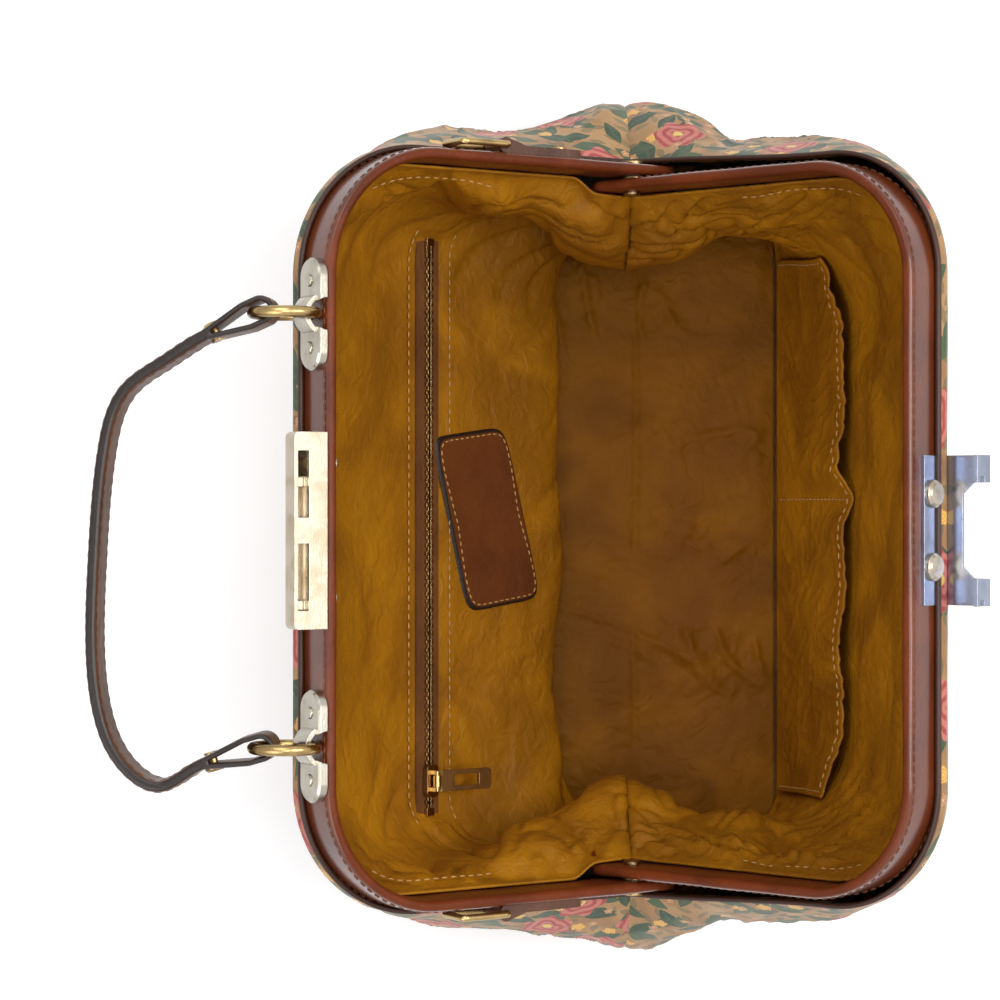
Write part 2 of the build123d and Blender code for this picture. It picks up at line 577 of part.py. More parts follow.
# Outer leather, with a tongue at each seam end that covers the pivot
for name, wall, y0, y1 in (("rear", rear_leather, 0, 8), ("front", front_leather, -8, 0)):
    own_side = block(-2 * SEAM_HALF, 2 * SEAM_HALF, 0, math.copysign(2 * REAR_REACH, y0 + y1), 0, 2 * REAR_REACH)
    skin = wall.build(LEVELS, 0, LEATHER_THICK) + (wall.lip(0, LEATHER_THICK, LIP) & own_side)
    for side in (-1, 1):
        x0, x1 = sorted((side * SEAM_HALF, side * (SEAM_HALF + LEATHER_THICK)))
        skin = skin + block(x0, x1, y0, y1, wall.high - 1.6, HINGE_Z + 8)
    if name == "front":
        skin = skin - front(block(-CATCH_HALF - 1, CATCH_HALF + 1, -EDGE_LOW, 2, low - 1, low + 12))
    keep(f"leather_{name}", skin)


def full_outline(back, ahead, distance, z0, z1):
    """Plate with the outline of both walls' base, grown by a distance."""
    a = offset(back.loop(0), distance)
    b = offset(ahead.loop(0), distance)
    rear_edge = Edge.make_spline([Vector(x, s, z0) for x, s in a])
    front_edge = Edge.make_spline([Vector(-x, -s, z0) for x, s in b])
    joins = [Edge.make_line(rear_edge @ 1, front_edge @ 0)] if (rear_edge @ 1 - front_edge @ 0).length > 1e-6 else []
    return extrude(make_face(Wire([rear_edge] + joins + [front_edge])), z1 - z0)


# Base: leather, stiff board and studs
board_top = base_top + BOARD_THICK
leather_base = full_outline(rear_leather, front_leather, LEATHER_THICK, FOOT_HEIGHT, base_top)
board = full_outline(rear_leather, front_leather, -0.6, base_top, board_top)
feet = None
for sx in (-1, 1):
    for sy in (-1, 1):
        x, y = sx * (BASE_HALF_LENGTH - FOOT_INSET), sy * (BASE_HALF_DEPTH - FOOT_INSET)
        dome = Pos(x, y, FOOT_HEIGHT / 2) * Cylinder(FOOT_RADIUS, FOOT_HEIGHT)
        dome = fillet(dome.edges().group_by(Axis.Z)[0], 2.4)
        shank = rod_z(x, y, FOOT_HEIGHT, board_top, FOOT_SHANK)
        leather_base, board = leather_base - shank, board - shank
        feet = dome + shank if feet is None else feet + dome + shank
keep("leather_base", leather_base)
keep("base_board", board)
keep("base_feet", feet)

# Lining: loose walls that drape in from the frame, and a floor
lining_low = board_top + LINING_THICK
LINING_EDGE = 6.0
lining_base_loop = (BASE_HALF_LENGTH - 8, BASE_HALF_LENGTH - 9, BASE_HALF_DEPTH - 4, BASE_CORNER - 4)
OVERHANG = 44.0           # how far the loose rear wall hangs in over the floor
LINING_SEAM = FRONT_HALF - BAND_THICK - SIDE_CLEARANCE - PIN_HEAD_THICK - 0.2


def overhang(t, deep):
    """Loose wall hanging inwards near the floor."""
    k = t / 0.2
    return deep * k * math.exp(1 - k) * (1 - t) * 1.25


def lining_shape_rear(t):
    belly = math.sin(math.pi * t)
    rise = lining_top_rear[2] - lining_base_loop[2]
    spread = belly * ease((t - 0.25) / 0.22)
    return (-31 * belly ** 1.2, -17 * belly + 9 * spread, rise * (t ** 1.35 - t) - overhang(t, OVERHANG),
            8 * belly - 20 * spread)


def lining_shape_front(t):
    belly = math.sin(math.pi * t)
    rise = lining_top_front[2] - lining_base_loop[2]
    return -31 * belly ** 1.2, -16 * belly, rise * (t ** 1.2 - t) - 1.5 * belly, 8 * belly


def lining_ripple(x, s, t, inward):
    """Drapes at the two ends only; the long walls stay smooth."""
    end = ease((abs(x) - SEAM_HALF + 45) / 14) * ease(inward / 45) * ease((t - 0.05) / 0.3)
    belly = math.sin(math.pi * t) ** 0.8
    turn = 0.6 if x > 0 else 2.4
    return belly * end * (2.6 * math.sin(s / 7.5 + 3.1 * t + turn) + 1.6 * math.sin(s / 3.9 - 5 * t + turn))


lining_high = seam_top(rear_rad, LINING_EDGE)
front_lining_edge = (HINGE_Z - lining_high) * math.cos(front_rad)
inset = BAND_THICK + SOFT_GAP + LINING_THICK
lining_top_rear = (LINING_SEAM, REAR_HALF - 7.5, plane_depth(rear_rad, LINING_EDGE, REAR_REACH - inset), REAR_BEND - inset)
lining_top_front = (LINING_SEAM, FRONT_HALF - inset,
                    plane_depth(front_rad, front_lining_edge, FRONT_REACH - inset), FRONT_BEND - inset)
rear_lining = Wall(1, REAR_TILT, lining_low, lining_high, lining_base_loop, lining_top_rear,
                   lining_shape_rear, lining_ripple)
front_lining = Wall(-1, FRONT_TILT, lining_low, lining_high, lining_base_loop, lining_top_front,
                    lining_shape_front, lining_ripple)
LINING_LEVELS = [0, 0.06, 0.12, 0.2, 0.32, 0.39, 0.455, 0.52, 0.64, 0.76, 0.88, 1.0]
rear_cloth = rear_lining.build(LINING_LEVELS, 0, LINING_THICK)
front_cloth = front_lining.build(LINING_LEVELS, 0, LINING_THICK)
keep("lining_floor", full_outline(rear_lining, front_lining, LINING_THICK, board_top, lining_low))


# Zip in the rear wall
def wall_point(wall, t):
    """Inner face of a wall, at the middle of the bar."""
    s = [s for x, s in wall.loop(t) if abs(x) < 1e-6][0]
    return Vector(*wall.place((0, s), t))


here = wall_point(rear_lining, ZIP_LEVEL)
rise = (wall_point(rear_lining, ZIP_LEVEL + 0.02) - wall_point(rear_lining, ZIP_LEVEL - 0.02)).normalized()
zip_plane = Plane(origin=here, x_dir=(1, 0, 0), z_dir=Vector(1, 0, 0).cross(rise))
if zip_plane.z_dir.Y > 0:
    zip_plane = Plane(origin=here, x_dir=(1, 0, 0), z_dir=zip_plane.z_dir * -1)
tape_top, tape_low = 0.2, 0.2 - TAPE_THICK
tape_half = ZIP_HALF + 4
window = block(-tape_half, tape_half, -TAPE_HEIGHT / 2, TAPE_HEIGHT / 2, -6, 6)
rear_cloth = rear_cloth - zip_plane * window
tape = block(-tape_half, tape_half, -TAPE_HEIGHT / 2, TAPE_HEIGHT / 2, tape_low, tape_top)
tape = tape - block(-ZIP_HALF, ZIP_HALF, -ZIP_SLOT / 2, ZIP_SLOT / 2, -5, 5)
keep("zip_tape", zip_plane * tape)
teeth = None
row_start = ZIP_SLOT / 2
for side in (-1, 1):
    edge = [(-ZIP_HALF, side * row_start)]
    count = int(2 * ZIP_HALF / TOOTH_PITCH - 0.01)
    for i in range(count):
        x = -ZIP_HALF + i * TOOTH_PITCH
        edge += [(x, side * (row_start + 0.8)), (x + TOOTH_PITCH / 2, side * (row_start + 0.8)),
                 (x + TOOTH_PITCH / 2, side * (row_start + ROW_WIDTH)),
                 (x + TOOTH_PITCH, side * (row_start + ROW_WIDTH))]
    edge += [(ZIP_HALF, side * (row_start + ROW_WIDTH)), (ZIP_HALF, side * row_start)]
    row = Pos(0, 0, tape_top) * extrude(make_face(Polyline(*edge, close=True)), TOOTH_HEIGHT)
    stop = block(side * ZIP_HALF, side * (ZIP_HALF + 3), -2.4, 2.4, tape_top, tape_top + TOOTH_HEIGHT + 0.3)
    teeth = row + stop if teeth is None else teeth + row + stop
keep("zip_teeth", zip_plane * teeth)

SLIDER_X = SLIDER_INSET - ZIP_HALF
plate_low = tape_top + TOOTH_HEIGHT + 0.2
slider = block(-6.5, 6.5, -3.7, 3.7, plate_low, plate_low + 1.2)
slider = fillet(slider.edges().filter_by(Axis.Z), 2.0)
slider = slider + block(-5, 5, 2.8, 3.6, tape_top + 0.2, plate_low) + block(-5, 5, -3.6, -2.8, tape_top + 0.2, plate_low)
slider = slider + block(-2.5, 2.5, -0.3, 0.3, tape_low - 1.2, plate_low)
slider = slider + block(-6, 6, -3.2, 3.2, tape_low - 1.3, tape_low - 0.2)
bar_z = plate_low + 1.2 + 2.0
slider = slider + rod_x(-4, 4, 0, bar_z, 0.8)
slider = slider + block(-4.2, -2.6, -0.8, 0.8, plate_low + 1, bar_z) + block(2.6, 4.2, -0.8, 0.8, plate_low + 1, bar_z)
keep("zip_slider", zip_plane * (Pos(SLIDER_X, 0, 0) * slider))
pull = block(-4.2, 4.2, -PULL_LENGTH, 2.6, bar_z - 0.7, bar_z + 0.7)
pull = fillet(pull.edges().filter_by(Axis.Z), 1.8)
pull = pull - block(-2.3, 2.3, 6 - PULL_LENGTH, -8, bar_z - 2, bar_z + 2)
eye = Rot(Y=90) * Cylinder(1.6, 4.6)
pull = (pull - block(-5, 5, -1.7, 5, bar_z - 3, bar_z + 3)) + Pos(0, 0, bar_z) * eye
pull = pull + block(-2.3, 2.3, -2.6, -0.9, bar_z - 0.7, bar_z + 0.7) - rod_x(-6, 6, 0, bar_z, 0.9)
pull = Pos(0, 0, bar_z) * Rot(X=-PULL_LIFT) * Pos(0, 0, -bar_z) * pull
keep("zip_pull", zip_plane * (Pos(SLIDER_X, 0, 0) * pull))

# Pocket behind the zip: a flat bag with a collar up to the tape, open under the zip's slot
bag_low, bag_deep, cloth = -58.0, 8.0, 0.8
collar_half = TAPE_HEIGHT / 2 - 0.6
bag_half = ZIP_HALF + 1.6
face = tape_low - 0.9
bag = block(-bag_half, bag_half, bag_low, collar_half, tape_low - bag_deep, face)
bag = bag + block(-bag_half, bag_half, -collar_half, collar_half, face - 0.1, tape_low)
bag = bag - block(-bag_half + cloth, bag_half - cloth, bag_low + cloth, collar_half - cloth,
                  tape_low - bag_deep + cloth, face - cloth)
bag = bag - block(-bag_half + cloth, bag_half - cloth, -collar_half + cloth, collar_half - cloth, face - 3, tape_low + 1)
keep("zip_pocket", zip_plane * bag)

# Bare leather patch on the wall under the zip
PATCH_LEVELS = [0.32, 0.39, 0.455]
PATCH_STATIONS = [PATCH_LENGTH * (i / 6 - 0.5) for i in range(7)]
patch = rear_lining.panel(PATCH_LEVELS, PATCH_STATIONS, lambda w, t: -0.05, lambda w, t: -PATCH_THICK)
keep("leather_patch", patch)

# Gathered pocket on the front wall, sewn down at its foot, its sides and one seam
POCKET_REACH = 112.0
DIVIDER = -11.0
RUFFLE = 5.6


def pocket_gap(w, t):
    """How far the pocket stands off the wall: nothing at its seams, most at its mouth."""
    side = min(1.0, (POCKET_REACH - abs(w)) / 16) if abs(w) < POCKET_REACH else 0.0
    seam = min(1.0, abs(w - DIVIDER) / 14)
    up = ease((t - 0.06) / (POCKET_LEVEL - 0.06))
    ruffle = 1.0 + 0.25 * math.sin(w / RUFFLE)
    return -0.15 - 5.2 * ease(side) * ease(seam) * up * ruffle


POCKET_LEVELS = [0.06, 0.12, 0.2, 0.32, 0.39, 0.455, POCKET_LEVEL]
POCKET_STATIONS = [POCKET_REACH * (i / 18 - 1) for i in range(37)]
pocket = front_lining.panel(POCKET_LEVELS, POCKET_STATIONS, pocket_gap, lambda w, t: pocket_gap(w, t) - LINING_THICK)
keep("slip_pocket", pocket)
keep("lining_rear", rear_cloth)
keep("lining_front", front_cloth)

# Everything is filed about the middle of the bag's own outline on the floor
boxes = [shape.bounding_box() for shape in MADE.values()]
low_x, high_x = min(b.min.X for b in boxes), max(b.max.X for b in boxes)
low_y, high_y = min(b.min.Y for b in boxes), max(b.max.Y for b in boxes)
shift = Pos(-(low_x + high_x) / 2, -(low_y + high_y) / 2, -min(b.min.Z for b in boxes))
for name, shape in MADE.items():
    shape = shift * shape
    shape.label = name
    export_step(shape, f"parts/{name}.step")

pull_hinge = zip_plane.from_local_coords((SLIDER_X, 0, bar_z))
side_hinge = rear(Pos(ring_x, -TAB_MID, SIDE_TAB_END) * Vertex(0, 0, 0)).center()
print("shift", shift.position)
print("hinge", 0, 0, HINGE_Z, "handle", ring_y, ring_z, "pull", pull_hinge, "side ring", side_hinge)
print("zip", here, zip_plane.z_dir, "lock", rear(Pos(0, -5, top + 8) * Vertex(0, 0, 0)).center())
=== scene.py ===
"""Looks of an open frame satchel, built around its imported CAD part."""

import logging
import math
from dataclasses import dataclass, field
from enum import Enum
from typing import Callable, Sequence

import bpy
import numpy as np
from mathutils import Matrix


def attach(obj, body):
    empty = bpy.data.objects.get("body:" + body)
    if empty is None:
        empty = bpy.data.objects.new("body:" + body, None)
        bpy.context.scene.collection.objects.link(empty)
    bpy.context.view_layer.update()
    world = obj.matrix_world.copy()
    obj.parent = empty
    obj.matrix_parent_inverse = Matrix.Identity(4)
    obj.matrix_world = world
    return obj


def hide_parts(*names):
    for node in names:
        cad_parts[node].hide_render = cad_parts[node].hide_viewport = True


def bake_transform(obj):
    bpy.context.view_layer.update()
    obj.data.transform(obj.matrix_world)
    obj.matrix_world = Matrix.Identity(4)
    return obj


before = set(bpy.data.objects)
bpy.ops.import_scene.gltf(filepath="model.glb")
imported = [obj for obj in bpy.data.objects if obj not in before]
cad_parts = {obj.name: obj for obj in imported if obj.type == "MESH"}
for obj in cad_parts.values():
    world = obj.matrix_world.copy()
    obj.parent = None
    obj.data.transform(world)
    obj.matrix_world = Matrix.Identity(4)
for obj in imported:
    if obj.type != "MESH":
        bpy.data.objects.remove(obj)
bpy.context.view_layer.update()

logging.basicConfig(level=logging.INFO, format="%(message)s")
log = logging.getLogger("satchel")

MM = 0.001
ORIGIN = np.array([-0.253888, -37.6777, 0.0])
HINGE_Z = 125.0
REAR_TILT, FRONT_TILT = 33.6, 40.7
LEATHER_SET_BACK, LINING_SET_BACK = 11.0, 6.0


class Half(Enum):
    """The two halves of the bag, with the side of the seam each lies on."""

    REAR = 1
    FRONT = -1


class Body(str, Enum):
    """CAD bodies the pieces ride on."""

    BAG = "bag_body"
    REAR = "rear_frame"
    FRONT = "front_frame"
    HANDLE = "handle"


def to_row(points: np.ndarray) -> np.ndarray:
    """Moves design millimetres to row-frame metres.

    Args:
        points: Array ending in three coordinates, in millimetres about the hinge's middle on the floor.

    Returns:
        The same points in metres in the row frame.
    """
    return (points + ORIGIN) * MM


def ease(t: np.ndarray) -> np.ndarray:
    """Smooth step from 0 to 1: t squared times (3 - 2 t), clipped.

    Args:
        t: Values of any range.

    Returns:
        Values from 0 to 1.
    """
    t = np.clip(t, 0.0, 1.0)
    return t * t * (3 - 2 * t)


def waves(u: np.ndarray, v: np.ndarray, seed: int, scale: float, count: int = 7) -> np.ndarray:
    """Smooth irregular field: a sum of sines of seeded directions and phases, about -1 to 1.

    Args:
        u: First coordinate, millimetres.
        v: Second coordinate, millimetres.
        seed: Seed of the directions and phases.
        scale: Typical wave length, millimetres.
        count: Number of sines.

    Returns:
        The field at each point.
    """
    rng = np.random.default_rng(seed)
    total = np.zeros(np.broadcast(u, v).shape)
    for _ in range(count):
        angle, phase = rng.uniform(0, math.tau, 2)
        k = math.tau / (scale * rng.uniform(0.6, 1.6))
        total = total + np.sin(k * (u * math.cos(angle) + v * math.sin(angle)) + phase)
    return total / math.sqrt(count)


def creases(u: np.ndarray, v: np.ndarray, seed: int, scale: float) -> np.ndarray:
    """Ridged field for crumpled cloth: (1 - |tanh waves|) to the power 1.5, less 0.3.

    Args:
        u: First coordinate, millimetres.
        v: Second coordinate, millimetres.
        seed: Seed of the field.
        scale: Typical spacing, millimetres.

    Returns:
        The field at each point, about -0.5 to 0.5.
    """
    bent = waves(u, v, seed + 50, scale * 2.5, 4) * scale * 0.5
    ridge = 1 - np.abs(np.tanh(1.6 * waves(u + bent, v - bent, seed, scale, 4)))
    return ridge ** 1.5 - 0.3


def add_object(name: str, data: bpy.types.ID) -> bpy.types.Object:
    """Puts a mesh, lamp or camera into the scene.

    Args:
        name: Object name.
        data: What it holds.

    Returns:
        The linked object, at the origin.
    """
    obj = bpy.data.objects.new(name, data)
    bpy.context.scene.collection.objects.link(obj)
    return obj


def mesh_from_grid(name: str, points: np.ndarray, uv: np.ndarray, close_u: bool = False,
                   close_v: bool = False, caps: bool = False) -> bpy.types.Object:
    """Makes a smooth quad mesh from a grid of points.

    Args:
        name: Object name.
        points: Array (rows, columns, 3) in row-frame metres.
        uv: Array (rows, columns, 2) in metres of cloth.
        close_u: Joins the last row to the first.
        close_v: Joins the last column to the first.
        caps: Closes both ends of a thin closed section, row by row across it.

    Returns:
        The linked object, at the origin.
    """
    rows, cols = points.shape[:2]
    i = np.arange(rows if close_u else rows - 1)
    j = np.arange(cols if close_v else cols - 1)
    ii, jj = [a.ravel() for a in np.meshgrid(i, j, indexing="ij")]
    i1, j1 = (ii + 1) % rows, (jj + 1) % cols
    faces = np.stack([ii * cols + jj, ii * cols + j1, i1 * cols + j1, i1 * cols + jj], 1)
    if caps:
        k = np.arange(rows // 2 - 1)
        start = np.stack([k, k + 1, rows - 2 - k, rows - 1 - k], 1) * cols
        faces = np.concatenate([faces, start, start[:, ::-1] + cols - 1])
    mesh = bpy.data.meshes.new(name)
    mesh.vertices.add(rows * cols)
    mesh.vertices.foreach_set("co", points.reshape(-1).astype(np.float32))
    mesh.loops.add(faces.size)
    mesh.loops.foreach_set("vertex_index", faces.reshape(-1).astype(np.int32))
    mesh.polygons.add(len(faces))
    mesh.polygons.foreach_set("loop_start", np.arange(0, faces.size, 4, dtype=np.int32))
    mesh.polygons.foreach_set("use_smooth", np.ones(len(faces), dtype=bool))
    mesh.update(calc_edges=True)
    layer = mesh.uv_layers.new(name="cloth")
    layer.data.foreach_set("uv", uv.reshape(-1, 2)[faces.reshape(-1)].reshape(-1).astype(np.float32))
    return add_object(name, mesh)


def thin_sheet(name: str, outer: np.ndarray, inner: np.ndarray, uv: np.ndarray) -> bpy.types.Object:
    """Closed sheet of cloth from its two faces.

    Args:
        name: Object name.
        outer: Outer face, (rows, columns, 3), design millimetres.
        inner: Inner face of the same shape.
        uv: Cloth coordinates of either face, millimetres.

    Returns:
        The sheet.
    """
    rows = np.concatenate([outer[::-1], inner])
    return mesh_from_grid(name, to_row(rows), np.concatenate([uv[::-1], uv]) * MM, close_u=True, caps=True)


def join_meshes(name: str, parts: Sequence[tuple[np.ndarray, np.ndarray]]) -> bpy.types.Object:
    """Makes one object from several vertex and face arrays.

    Args:
        name: Object name.
        parts: Pairs of (vertices in metres, quad faces).

    Returns:
        The linked object, at the origin.
    """
    shift, verts, faces = 0, [], []
    for v, f in parts:
        verts.append(v)
        faces.append(f + shift)
        shift += len(v)
    mesh = bpy.data.meshes.new(name)
    mesh.from_pydata(np.concatenate(verts).tolist(), [], np.concatenate(faces).tolist())
    mesh.polygons.foreach_set("use_smooth", np.ones(len(mesh.polygons), dtype=bool))
    mesh.update()
    return add_object(name, mesh)


def stitches(name: str, line: np.ndarray, lift: np.ndarray, length: float = 2.6, gap: float = 1.1,
             radius: float = 0.42) -> bpy.types.Object:
    """Row of thread stitches along a line: each an ellipsoid of the stitch's length and radius.

    Args:
        name: Object name.
        line: Points along the row, design millimetres.
        lift: Outward direction at each point.
        length: Stitch length, millimetres.
        gap: Space between stitches, millimetres.
        radius: Thread radius, millimetres.

    Returns:
        The row as one object.
    """
    steps = np.linalg.norm(np.diff(line, axis=0), axis=1)
    trail = np.concatenate([[0], np.cumsum(steps)])
    count = max(2, int(trail[-1] / (length + gap)))
    s = (np.arange(count) + 0.5) * trail[-1] / count
    at = [np.stack([np.interp(s + d, trail, line[:, k]) for k in range(3)], 1) for d in (-0.4, 0, 0.4)]
    out = np.stack([np.interp(s, trail, lift[:, k]) for k in range(3)], 1)
    along = at[2] - at[0]
    along /= np.linalg.norm(along, axis=1, keepdims=True)
    out -= (out * along).sum(1, keepdims=True) * along
    out /= np.linalg.norm(out, axis=1, keepdims=True)
    side = np.cross(along, out)
    rings, around = 6, 6
    a = np.linspace(0, math.pi, rings)
    b = np.linspace(0, math.tau, around + 1)[:-1]
    ca = np.cos(a)[:, None] * np.ones(around)
    ring = np.sin(a)[:, None]
    local = np.stack([ca * length / 2, ring * np.cos(b) * radius, ring * np.sin(b) * radius], -1)
    local[0, :, 1:] = 1e-4
    verts = (at[1][:, None, None] + local[None, ..., :1] * along[:, None, None]
             + local[None, ..., 1:2] * side[:, None, None] + local[None, ..., 2:] * out[:, None, None])
    i, j = [g.ravel() for g in np.meshgrid(np.arange(rings - 1), np.arange(around), indexing="ij")]
    low, high, after = i * around, (i + 1) * around, (j + 1) % around
    quad = np.stack([low + j, low + after, high + after, high + j], 1)
    faces = (quad[None] + (np.arange(count) * rings * around)[:, None, None]).reshape(-1, 4)
    return join_meshes(name, [(to_row(verts.reshape(-1, 3)), faces)])


Value = float | Sequence[float] | bpy.types.NodeSocket
Socket = bpy.types.NodeSocket


class Shader:
    """One material's node tree, with short calls for the nodes it needs."""

    def __init__(self, name: str) -> None:
        """Starts a material with its Principled shader.

        Args:
            name: Material name.
        """
        self.material = bpy.data.materials.new(name)
        self.material.use_nodes = True
        self.tree = self.material.node_tree
        self.bsdf = next(n for n in self.tree.nodes if n.type == "BSDF_PRINCIPLED")

    def feed(self, socket: Socket, value: Value) -> None:
        """Links or sets one input.

        Args:
            socket: The input.
            value: Another node's output, a number or a tuple.
        """
        if isinstance(value, bpy.types.NodeSocket):
            self.tree.links.new(value, socket)
        elif isinstance(value, (int, float)) or len(value) == len(socket.default_value):
            socket.default_value = value
        else:
            socket.default_value = (*value, 1.0)

    def node(self, kind: str, inputs: dict[str | int, Value], **settings: object) -> bpy.types.Node:
        """Adds a node.

        Args:
            kind: Node type.
            inputs: Values by input name or index.
            **settings: Attributes of the node.

        Returns:
            The node.
        """
        made = self.tree.nodes.new(kind)
        for key, value in settings.items():
            setattr(made, key, value)
        for key, value in inputs.items():
            self.feed(made.inputs[key], value)
        return made

    def set(self, **values: Value) -> None:
        """Sets inputs of the Principled shader, with underscores for spaces.

        Args:
            **values: Value by input name.
        """
        for key, value in values.items():
            self.feed(self.bsdf.inputs[key.replace("_", " ")], value)

    def spot(self) -> Socket:
        """Object coordinates.

        Returns:
            The vector output.
        """
        return self.node("ShaderNodeTexCoord", {}).outputs["Object"]

    def cloth(self) -> Socket:
        """The mesh's own UV map in metres of cloth.

        Returns:
            The vector output.
        """
        return self.node("ShaderNodeUVMap", {}, uv_map="cloth").outputs["UV"]

    def mask(self, name: str) -> Socket:
        """A number stored on the mesh.

        Args:
            name: Attribute name.

        Returns:
            The number's output.
        """
        return self.node("ShaderNodeAttribute", {}, attribute_name=name).outputs["Fac"]

    def math(self, operation: str, *values: Value) -> Socket:
        """Arithmetic on numbers.

        Args:
            operation: Operation name.
            *values: Operands.

        Returns:
            The result's output.
        """
        return self.node("ShaderNodeMath", dict(enumerate(values)), operation=operation).outputs[0]

    def vector(self, operation: str, *values: Value) -> Socket:
        """Arithmetic on vectors.

        Args:
            operation: Operation name.
            *values: Operands.

        Returns:
            The vector output, or the number for a length or dot product.
        """
        made = self.node("ShaderNodeVectorMath", dict(enumerate(values)), operation=operation)
        return made.outputs[1 if operation in ("LENGTH", "DOT_PRODUCT", "DISTANCE") else 0]

    def turned(self, vector: Value, angle: Value) -> Socket:
        """Vector turned about Z.

        Args:
            vector: The vector.
            angle: Radians.

        Returns:
            The vector output.
        """
        inputs = {"Vector": vector, "Angle": angle}
        return self.node("ShaderNodeVectorRotate", inputs, rotation_type="Z_AXIS").outputs[0]

    def split(self, vector: Value) -> tuple[Socket, Socket, Socket]:
        """The three numbers of a vector.

        Args:
            vector: The vector.

        Returns:
            Outputs for X, Y and Z.
        """
        return tuple(self.node("ShaderNodeSeparateXYZ", {0: vector}).outputs)

    def mix(self, share: Value, a: Value, b: Value) -> Socket:
        """Blend of two colours.

        Args:
            share: 0 for the first, 1 for the second.
            a: First colour.
            b: Second colour.

        Returns:
            The colour output.
        """
        made = self.node("ShaderNodeMix", {}, data_type="RGBA")
        self.feed(made.inputs[0], share)
        self.feed(made.inputs[6], a)
        self.feed(made.inputs[7], b)
        return made.outputs[2]

    def step(self, value: Value, start: float, end: float) -> Socket:
        """Number remapped to 0 at one value and 1 at another, smooth and clamped.

        Args:
            value: The number.
            start: Value that gives 0.
            end: Value that gives 1.

        Returns:
            The result's output.
        """
        made = self.node("ShaderNodeMapRange", {0: value, 1: start, 2: end, 3: 0.0, 4: 1.0},
                         interpolation_type="SMOOTHSTEP")
        return made.outputs[0]

    def noise(self, vector: Value, scale: float, detail: float = 3.0, bent: float = 0.0) -> Socket:
        """Fractal noise.

        Args:
            vector: Where it is read.
            scale: Repeats per metre.
            detail: Octaves.
            bent: Distortion.

        Returns:
            The number's output, 0 to 1.
        """
        made = self.node("ShaderNodeTexNoise", {"Vector": vector, "Scale": scale, "Detail": detail,
                                                "Distortion": bent})
        return made.outputs[0]

    def bump(self, height: Value, distance: float, below: Value | None = None) -> Socket:
        """Surface normal bent by a height.

        Args:
            height: Height in units of the distance.
            distance: Metres.
            below: A normal to start from.

        Returns:
            The normal's output.
        """
        inputs = {"Height": height, "Distance": distance, "Strength": 1.0}
        if below is not None:
            inputs["Normal"] = below
        return self.node("ShaderNodeBump", inputs).outputs[0]


@dataclass(frozen=True)
class Metal:
    """Plated or rolled metal with softened edges and faint wear."""

    name: str
    tone: tuple[float, float, float]
    rough: float
    stain: tuple[float, float, float]
    edge: float = 0.0004

    def make(self) -> bpy.types.Material:
        """Builds the material: tone to stain by cloudy noise, brushed bump, edges rounded in shading.

        Returns:
            The material.
        """
        s = Shader(self.name)
        spot = s.spot()
        cloud = s.noise(spot, 90.0, 5.0, 0.6)
        fine = s.noise(spot, 1400.0, 2.0)
        soft = s.node("ShaderNodeBevel", {"Radius": self.edge}, samples=4).outputs[0]
        s.set(Base_Color=s.mix(s.step(cloud, 0.42, 0.72), self.tone, self.stain), Metallic=1.0,
              Roughness=s.math("ADD", self.rough - 0.06, s.math("MULTIPLY", cloud, 0.14)),
              Normal=s.bump(fine, 0.00002, soft))
        return s.material


@dataclass(frozen=True)
class Leather:
    """Finished leather with a fine grain, and a dark painted edge where the mesh marks one."""

    name: str
    tone: tuple[float, float, float]
    deep: tuple[float, float, float]
    edge: tuple[float, float, float]
    rough: float = 0.34
    coat: float = 0.3
    marked: bool = True
    glossy: bool = False
    shine: float = 0.3

    def make(self) -> bpy.types.Material:
        """Builds the material: two tones by cloudy noise, Voronoi grain, edge paint by attribute.

        Returns:
            The material.
        """
        s = Shader(self.name)
        spot = s.spot()
        cloud = s.noise(spot, 38.0, 4.0, 0.4)
        grain = s.node("ShaderNodeTexVoronoi", {"Vector": spot, "Scale": 900.0}).outputs["Distance"]
        colour = s.mix(s.step(cloud, 0.3, 0.75), self.tone, self.deep)
        if self.marked:
            colour = s.mix(s.mask("edge"), colour, self.edge)
        slack = s.noise(spot, 160.0, 3.0, 0.5)
        if self.glossy:
            s.set(Coat_Weight=s.math("MULTIPLY_ADD", s.mask("gloss"), self.coat, 0.04))
        else:
            s.set(Coat_Weight=self.coat)
        s.set(Base_Color=colour, Roughness=self.rough, Specular_IOR_Level=self.shine, Coat_Roughness=0.2,
              Normal=s.bump(grain, 0.00006, s.bump(slack, 0.0005)))
        return s.material


@dataclass(frozen=True)
class Cloth:
    """Closely woven lining with a soft sheen on its creases."""

    name: str
    light: tuple[float, float, float]
    dark: tuple[float, float, float]
    rough: float = 0.42
    weave: float = 2600.0
    shine: float = 0.28

    def make(self) -> bpy.types.Material:
        """Builds the material: tones by slow noise, weave from two crossed sines of the cloth's own UV.

        Returns:
            The material.
        """
        s = Shader(self.name)
        across, along, _ = s.split(s.cloth())
        warp = s.math("SINE", s.math("MULTIPLY", across, math.tau * self.weave / 2))
        weft = s.math("SINE", s.math("MULTIPLY", along, math.tau * self.weave / 2))
        cloud = s.noise(s.spot(), 24.0, 4.0, 0.8)
        small = s.noise(s.spot(), 120.0, 4.0, 1.2)
        s.set(Base_Color=s.mix(s.step(cloud, 0.32, 0.7), self.dark, self.light), Roughness=self.rough,
              Specular_IOR_Level=self.shine,
              Normal=s.bump(s.math("MULTIPLY", warp, weft), 0.00003, s.bump(small, 0.0012)))
        return s.material


